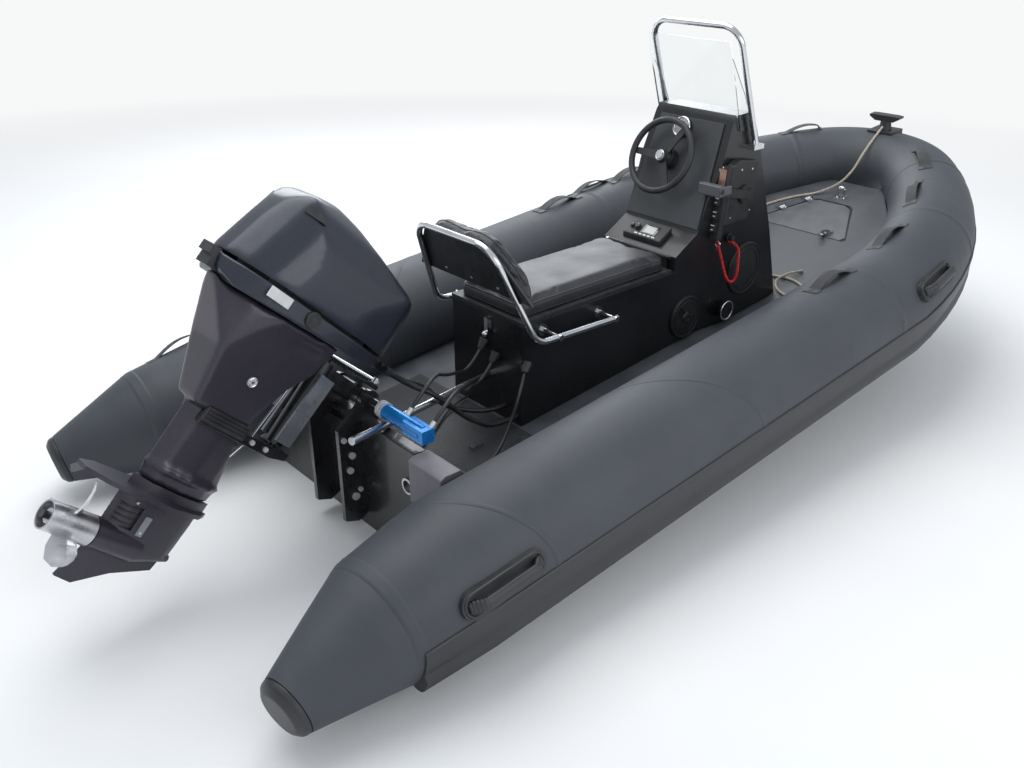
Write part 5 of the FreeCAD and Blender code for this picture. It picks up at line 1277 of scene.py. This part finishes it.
def on_tube(row, along, across, out):
    # A point on the tube near a strap: along and across its run, and out from the skin.
    x, degrees, lift, side = row
    if x is None:
        turn = math.radians(degrees) + along / (wide_arc if degrees < 41.0 else tight_arc)
        at, ahead, radius = bow_station(turn, 1)
    else:
        at, ahead, radius = side_station(min(x + along, SEAM_X), 1)
    flat = Vector((-ahead.y, ahead.x, 0.0)).normalized()
    turn = math.radians(lift) + across / radius
    reach = radius + out
    spot = at + flat * (reach * math.cos(turn)) + Vector((0, 0, reach * math.sin(turn)))
    spot.y *= side
    return spot


def strap_band(name, row):
    bm = bmesh.new()
    reach = STRAP_LONG / 2 + STRAP_TAIL
    steps = [reach * (k / STRAP_STEPS) for k in range(-STRAP_STEPS, STRAP_STEPS + 1)]

    def place(k, along):
        part = max(0.0, 1.0 - (2 * along / STRAP_LONG) ** 2)
        arch = 0.0024 + STRAP_UP * part ** 1.2
        share, thick = STRAP_SECTION[k]
        return on_tube(row, along, share * STRAP_WIDE * (1.0 - 0.12 * part), arch + thick)

    closed_sweep(bm, len(STRAP_SECTION), steps, place)
    return finished(bm, name, "boat", "strap_webbing", sharp=50.0)


def glued_patch(name, row, centre, size, slot, finish=None):
    # A grid laid on the tube: its rim sinks in the skin, and its corners are pulled in round.
    long, wide, proud = size
    bm = bmesh.new()
    bmesh.ops.create_grid(bm, x_segments=14, y_segments=12, size=1.0)
    for vert in bm.verts:
        u, v = vert.co.x, vert.co.y
        edge = max(abs(u), abs(v))
        out = -0.0004 if edge > 0.99 else proud
        pull_u, pull_v = 1.0 - 0.14 * v ** 6, 1.0 - 0.14 * u ** 6
        vert.co = on_tube(row, centre + u * pull_u * long / 2, v * pull_v * wide / 2, out)
    return finished(bm, name, "boat", slot, finish, sharp=30.0)


for number, row in enumerate(STRAP_ROWS, 1):
    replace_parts(strap_band("hand_strap_%d" % number, row), "hand_straps")
    for end_side, tag in ((-1, "aft"), (1, "fore")):
        middle = end_side * (STRAP_LONG / 2 + 0.004)
        glued_patch("strap_patch_%d_%s" % (number, tag), row, middle, PATCH_SIZE, "tube_fabric")
        glued_patch("strap_cover_%d_%s" % (number, tag), row, middle + end_side * 0.010,
                    COVER_SIZE, "handle_rubber")
glued_patch("stern_patch_port", (-0.702, 0.0, 176.0, 1), 0.0, STERN_PATCH, "tube_fabric",
            "knee_grey")
print("straps:", len(STRAP_ROWS))

# %% [markdown]
# ## The helm position
# The gauge has a chrome bezel round a pale dial with a needle and a few strokes.
# The wheel's hub carries a bright ring. Each piece stands on the sloped panel's own plane.

# %% Gauge and wheel
PANEL_FOOT = Vector((1.660, 0.0, 0.778))
PANEL_ALONG = Vector((0.172, 0.0, 0.442)).normalized()
PANEL_OUT = Vector((-PANEL_ALONG.z, 0.0, PANEL_ALONG.x))


def panel_seat(along, y, out):
    at = PANEL_FOOT + PANEL_ALONG * along + PANEL_OUT * out + Vector((0, y, 0))
    return facing(at, PANEL_ALONG, PANEL_OUT)


GAUGE_R, STROKES, STROKE_TURN = 0.037, 9, 30.0
gauge_seat = panel_seat(0.415, 0.028, 0.024)
small_piece("gauge_bezel", "boat", "stainless", "chrome",
            (hoop_ring, gauge_seat, 0.0405, 0.0042))
small_piece("gauge_dial", "boat", "black_plastic", "dial_pale",
            (disc, gauge_seat, GAUGE_R, -0.0006, 0.0008))
strokes = [(block, gauge_seat @ Matrix.Rotation(math.radians(STROKE_TURN * (k - 4)), 4, "Z"),
            (0.027, -0.0007, 0.0006), (0.033, 0.0007, 0.0012)) for k in range(STROKES)]
needle = gauge_seat @ Matrix.Rotation(math.radians(-128.0), 4, "Z")
small_piece("gauge_needle", "boat", "black_plastic", "black_plastic", *strokes,
            (block, needle, (-0.006, -0.0009, 0.001), (0.026, 0.0009, 0.002)),
            (disc, gauge_seat, 0.004, 0.0008, 0.003, 0.0008))

WHEEL_LEAN = math.radians(24.0)
WHEEL_AT = Vector((1.69002, 0.05, 1.06194))
wheel_out = Vector((-math.cos(WHEEL_LEAN), 0.0, math.sin(WHEEL_LEAN)))
hub_seat = facing(WHEEL_AT + wheel_out * 0.0085, (0, 1, 0), wheel_out)
small_piece("wheel_hub_ring", "helm_wheel", "chrome", "chrome",
            (hoop_ring, hub_seat, 0.0205, 0.0022))
small_piece("wheel_hub_plate", "helm_wheel", "wheel_rubber", "wheel_rubber",
            (disc, hub_seat, 0.029, -0.0004, 0.0014, 0.001))
print("helm pieces made")

# %% [markdown]
# ## The unit on the shelf
# A small radio set lies on the shelf before the seat: a display, a big knob and a row of keys.

# %% Shelf unit
shelf_slope = Vector((0.135, 0.0, 0.076)).normalized()
shelf_up = Vector((-shelf_slope.z, 0.0, shelf_slope.x))
unit_seat = facing((1.587, 0.012, 0.7369 + 0.0260), shelf_slope, shelf_up)
small_piece("unit_display", "boat", "black_plastic", "display_glass",
            (block, unit_seat, (-0.028, -0.062, -0.001), (0.024, 0.020, 0.0026), 0.0012))
small_piece("unit_screen", "boat", "black_plastic", "dial_pale",
            (block, unit_seat, (-0.022, -0.050, 0.0020), (0.018, 0.008, 0.0034), 0.0006))
KNOB_ROWS = (
    # y on the unit, radius, height
    (0.046, 0.013, 0.017),
    (0.078, 0.009, 0.013),
)
knobs, marks = [], []
for y, radius, high in KNOB_ROWS:
    seat = unit_seat @ Matrix.Translation((-0.004, y, 0))
    rim = seat @ Matrix.Translation((0, 0, 0.0024))
    knobs += [(disc, seat, radius, -0.001, high, 0.0016),
              (hoop_ring, rim, radius + 0.002, 0.0016, 28, 8)]
    marks.append((block, seat, (0.002, -0.0009, 0.0125), (radius * 0.85, 0.0009, high + 0.0008)))
keys = [(block, unit_seat @ Matrix.Translation((-0.037, -0.060 + 0.024 * k, 0)),
         (-0.004, -0.008, -0.001), (0.004, 0.008, 0.0024), 0.001) for k in range(5)]
small_piece("unit_knobs", "boat", "black_plastic", "black_plastic", *knobs)
small_piece("unit_keys", "boat", "black_plastic", "mark_white", *keys, *marks)
print("shelf unit made")

# %% [markdown]
# ## Throttle, switches and safety switch
# The throttle box has a plate with screws on its aft edge and a lever with a light grip. Three
# rocker switches sit below each other on the strip, each with two white strokes.

# %% Throttle and switches
def starboard_seat(x, y, z):
    return facing((x, y, z), (1, 0, 0), (0, -1, 0))


lever_seat = starboard_seat(1.880, -0.274, 0.922)
small_piece("lever_disc_ring", "boat", "black_plastic", "black_plastic",
            (hoop_ring, lever_seat, 0.0345, 0.0026),
            (disc, lever_seat, 0.020, -0.001, 0.003, 0.0012))
level = Matrix.Identity(4)
small_piece("lever_grip_cover", "boat", "black_plastic", "grip_grey",
            (block, level, (1.6735, -0.2895, 0.9440), (1.7085, -0.1745, 0.9920), 0.007, 4),
            (block, level, (1.7000, -0.2890, 0.9480), (1.7560, -0.2730, 0.9840), 0.004, 3))
button_seat = starboard_seat(1.691, -0.2895, 0.968)
small_piece("lever_button", "boat", "black_plastic", "black_plastic",
            (hoop_ring, button_seat, 0.011, 0.0014, 28, 8),
            (disc, button_seat, 0.0095, -0.001, 0.0012, 0.0005))

strip_along = Vector((0.033, 0.0, 0.310)).normalized()
strip_out = Vector((-strip_along.z, 0.0, strip_along.x))


def strip_seat(along, y):
    return facing(Vector((1.729, y, 0.742)) + strip_along * along, strip_along, strip_out)


ROCKER_TILT = Matrix.Rotation(math.radians(6.0), 4, "Y")
rockers, marks = [], []
for k in range(3):
    seat = strip_seat(0.052 + 0.058 * k, -0.227)
    rockers += [(block, seat, (-0.024, -0.020, -0.002), (0.024, 0.020, 0.0025), 0.001),
                (block, seat @ ROCKER_TILT, (-0.020, -0.016, 0.0), (0.020, 0.016, 0.007), 0.0016)]
    for x, half in ((0.010, 0.009), (-0.008, 0.006)):
        marks.append((block, seat @ ROCKER_TILT, (x - 0.0022, -half, 0.0066),
                      (x + 0.0022, half, 0.0076)))
small_piece("rocker_switches", "boat", "black_plastic", "black_plastic", *rockers)
small_piece("rocker_marks", "boat", "black_plastic", "mark_white", *marks)

# The plate is a real part; its copper-red tint is a painted reddish highlight.
small_piece("throttle_plate", "boat", "stainless", "plate_copper",
            (block, strip_seat(0.262, -0.231), (-0.040, -0.020, -0.010), (0.040, 0.020, 0.0015),
             0.001))
BOX_SCREWS = ((1.850, 1.030), (1.925, 1.022), (1.935, 0.840), (1.800, 0.830))
box_screws = [(screw, facing((x, -0.262, z), (1, 0, 0.6), (0, -1, 0)), 0.0050)
              for x, z in BOX_SCREWS]
plate_screws = [(screw, strip_seat(along, -0.231), 0.0038) for along in (0.214, 0.308)]
small_piece("throttle_screws", "boat", "stainless", "stainless", *box_screws, *plate_screws)

switch_seat = starboard_seat(1.838, -0.2375, 0.732)
small_piece("safety_switch", "boat", "black_plastic", "black_plastic",
            (disc, switch_seat, 0.019, -0.002, 0.006, 0.002),
            (disc, switch_seat, 0.012, 0.004, 0.026, 0.003))
clip_seat = facing((1.7475, -0.2445, 0.746), (0, 0, 1), (0, -1, 0))
clip_loop = facing((1.7475, -0.2505, 0.724), (0, 0, 1), (1, 0, 0))
small_piece("safety_cord_clip", "boat", "stainless", "chrome",
            (disc, clip_seat, 0.010, -0.006, 0.004, 0.0015),
            (hoop_ring, clip_loop, 0.0115, 0.0019, 28, 8),
            (block, clip_seat, (-0.052, -0.004, -0.002), (-0.034, 0.004, 0.003), 0.001))
print("controls made")

# %% [markdown]
# ## Side hatches and cup
# The round hatches screw in: a raised ring, a shallow dish and a hub to grip. A bright line of
# light runs along each ring, so the rings have a round section. The cup has a chrome rim.

# %% Hatches and cup
HATCH_RINGS = (
    # name, x, y, z, radius, thickness of the ring's section
    ("small_hatch_ring", 1.616, -0.2145, 0.411, 0.091, 0.0042),
    ("large_hatch_ring", 1.975, -0.2445, 0.560, 0.116, 0.0034),
)
for name, x, y, z, radius, thick in HATCH_RINGS:
    seat = starboard_seat(x, y, z)
    small_piece(name, "boat", "black_plastic", "black_plastic",
                (hoop_ring, seat, radius, thick, 64, 10),
                (hoop_ring, seat, radius * 0.80, thick * 0.6, 64, 8))
hub = starboard_seat(1.616, -0.2225, 0.411)
arms = [(block, hub @ Matrix.Rotation(math.radians(120.0 * k), 4, "Z"),
         (0.018, -0.005, -0.008), (0.062, 0.005, -0.0035), 0.0016) for k in range(3)]
small_piece("small_hatch_hub", "boat", "black_plastic", "black_plastic",
            (hoop_ring, hub, 0.0170, 0.0026, 32, 8), *arms)
small_piece("cup_rim", "boat", "stainless", "chrome",
            (hoop_ring, starboard_seat(1.850, -0.2600, 0.392), 0.0425, 0.0036, 40, 10))
print("hatches made")

# %% [markdown]
# ## Bow hatch seal and backrest screws
# A soft black seal fills the gap round the hatch lid. It runs straight along each side, and its
# smooth line rounds the corners. Six screws hold the backrest's board to its frame.

# %% Seal and screws
HATCH_CORNERS = ((2.7695, 0.2735), (3.0855, 0.1135), (3.0855, -0.1135), (2.7695, -0.2735))
seal_points = []
for k, (x, y) in enumerate(HATCH_CORNERS):
    here = Vector((x, y, 0.0))
    for step in (-1, 1):
        run = (Vector((*HATCH_CORNERS[(k + step) % 4], 0.0)) - here).normalized()
        for reach in ((0.036, 0.016) if step < 0 else (0.016, 0.036)):
            seal_points.append(here + run * reach)
seal_line = []
for here, near in zip(seal_points, seal_points[1:] + seal_points[:1]):
    parts = max(1, int((near - here).length / 0.03))
    seal_line += [here.lerp(near, k / parts) for k in range(parts)]
seal_line = [Vector((p.x, p.y, deck_top(p.x) - 0.0010)) for p in seal_line]
show(closed_tube("hatch_seal", seal_line, 0.0034), "boat", "rubber_seal")
rest_back = -rest_front
board_back = abs(back_plane) + 0.0104
screws = []
for y in (-0.15, 0.0, 0.15):
    for up_by in (-0.10, 0.10):
        spot = rest_middle + rest_slope * up_by
        spot.y = y
        spot = spot + rest_back * ((spot - rest_middle).dot(rest_back) + board_back)
        screws.append((screw, facing(spot, rest_slope, rest_back), 0.0065, 0.0018))
small_piece("backrest_screws", "boat", "stainless", "stainless", *screws)
print("seal and screws made")


# %% [markdown]
# ## Engine cowl and casing
# The cowl and the casing under it are large castings and mouldings with no straight edge. Each
# copy is skinned anew with an even net and eased, which turns every corner into a wide curve.

# %% Ease a casting
def eased(node, voxel, rounds):
    bm = copy_of(node)
    bmesh.ops.triangulate(bm, faces=bm.faces)
    mesh = bpy.data.meshes.new(node + "_eased")
    bm.to_mesh(mesh)
    bm.free()
    piece = bpy.data.objects.new(node + "_eased", mesh)
    bpy.context.scene.collection.objects.link(piece)
    net = piece.modifiers.new("even_net", "REMESH")
    net.mode = "VOXEL"
    net.voxel_size = voxel
    depsgraph = bpy.context.evaluated_depsgraph_get()
    skin = bpy.data.meshes.new_from_object(piece.evaluated_get(depsgraph))
    piece.modifiers.remove(net)
    bm = bmesh.new()
    bm.from_mesh(skin)
    for again in range(rounds):
        bmesh.ops.smooth_vert(bm, verts=bm.verts, factor=0.5, use_axis_x=True, use_axis_y=True,
                              use_axis_z=True)
    for face in bm.faces:
        face.smooth = True
    bm.to_mesh(skin)
    bm.free()
    piece.data = skin
    skin.materials.append(finishes[slot_of_node[node]])
    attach(piece, body_of_node[node])
    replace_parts(piece, node)
    print(node, "faces:", len(skin.polygons))


eased("cowl_top", 0.007, 34)
eased("midsection", 0.006, 20)

# %% [markdown]
# ## Pieces on the engine
# Places on the engine are given in its own running frame: a runs ahead, b runs up its leg, and
# y is to port. The tilt of forty-five degrees turns them into the boat's frame.

# %% Engine pieces
PIVOT = Vector((0.04, 0.0, 0.50))
RUN_AHEAD = Vector((math.sqrt(0.5), 0.0, -math.sqrt(0.5)))
RUN_UP = Vector((math.sqrt(0.5), 0.0, math.sqrt(0.5)))


def engine_at(a, y, b):
    return PIVOT + RUN_AHEAD * a + RUN_UP * b + Vector((0, y, 0))


def engine_side(a, b, y):
    return facing(engine_at(a, y, b), RUN_AHEAD, (0, 1 if y > 0 else -1, 0))


discs, bolts = [], []
for side in (-1, 1):
    seat = engine_side(-0.449, 0.112, side * 0.200)
    discs += [(hoop_ring, seat, 0.0245, 0.0024, 40, 8), (hoop_ring, seat, 0.0150, 0.0014, 32, 8),
              (disc, seat, 0.010, -0.001, 0.0014, 0.0006)]
    seat = engine_side(-0.440, -0.147, side * 0.100)
    bolts += [(hoop_ring, seat, 0.0130, 0.0022, 32, 8),
              (disc, seat, 0.0065, -0.001, 0.0015, 0.0008, 6)]
small_piece("cowl_disc_rings", "engine", "engine_trim", "engine_trim", *discs)
small_piece("blank_plate", "engine", "engine_trim", "mark_white",
            (block, engine_side(-0.588, 0.113, -0.1925), (-0.044, -0.017, -0.004),
             (0.044, 0.017, 0.0012), 0.0006))
small_piece("casing_bolt_faces", "engine", "stainless", "stainless", *bolts)
print("engine pieces made")

# %% [markdown]
# ## Lower mount and inlet
# The rubber mount is a ribbed block on each side of the leg. Next to the inlet's dark mouth a
# light plate is screwed on. The plate and its screws are seated where a line across the boat
# meets the gearcase.

# %% Lower mount and inlet
def skin_seat(node, a, b, side):
    # Where a line across the boat at this place of the engine first meets the piece.
    start = engine_at(a, side * 0.4, b)
    hit, spot, normal, face = dressed[node].ray_cast(start, Vector((0, -side, 0)))
    return facing(spot if hit else engine_at(a, side * 0.03, b), RUN_AHEAD, (0, side, 0))


ribs, plates, screws = [], [], []
for side in (-1, 1):
    seat = engine_side(-0.415, -0.300, side * 0.062)
    ribs.append((block, seat, (-0.088, -0.026, -0.010), (0.088, 0.024, 0.010), 0.005, 3))
    for k in range(4):
        across = -0.018 + 0.0125 * k
        ribs.append((block, seat, (-0.080, across - 0.0036, 0.006),
                     (0.080, across + 0.0036, 0.015), 0.002))
    plates.append((block, skin_seat("gearcase", -0.440, -0.700, side),
                   (-0.012, -0.034, -0.004), (0.012, 0.034, 0.004), 0.002))
    for a, b in ((-0.440, -0.722), (-0.500, -0.640)):
        screws.append((screw, skin_seat("gearcase", a, b, side), 0.0045, 0.006))
small_piece("mount_ribs", "engine", "bracket_black", "engine_trim", *ribs)
small_piece("inlet_plates", "engine", "leg_purplegrey", "cheek_grey", *plates)
small_piece("inlet_screws", "engine", "stainless", "bolt_zinc", *screws)
print("lower unit pieces made")


# %% [markdown]
# ## The imported pieces still shown
# Each imported node that no piece stands in for is given the finish of its slot.

# %% Finish
left = [name for name, piece in frame["nodes"].items() if not piece.hide_render]
for name in left:
    piece = frame["nodes"][name]
    piece.data.materials.clear()
    piece.data.materials.append(finishes[slot_of_node[name]])
print("packed nodes still shown:", sorted(left))
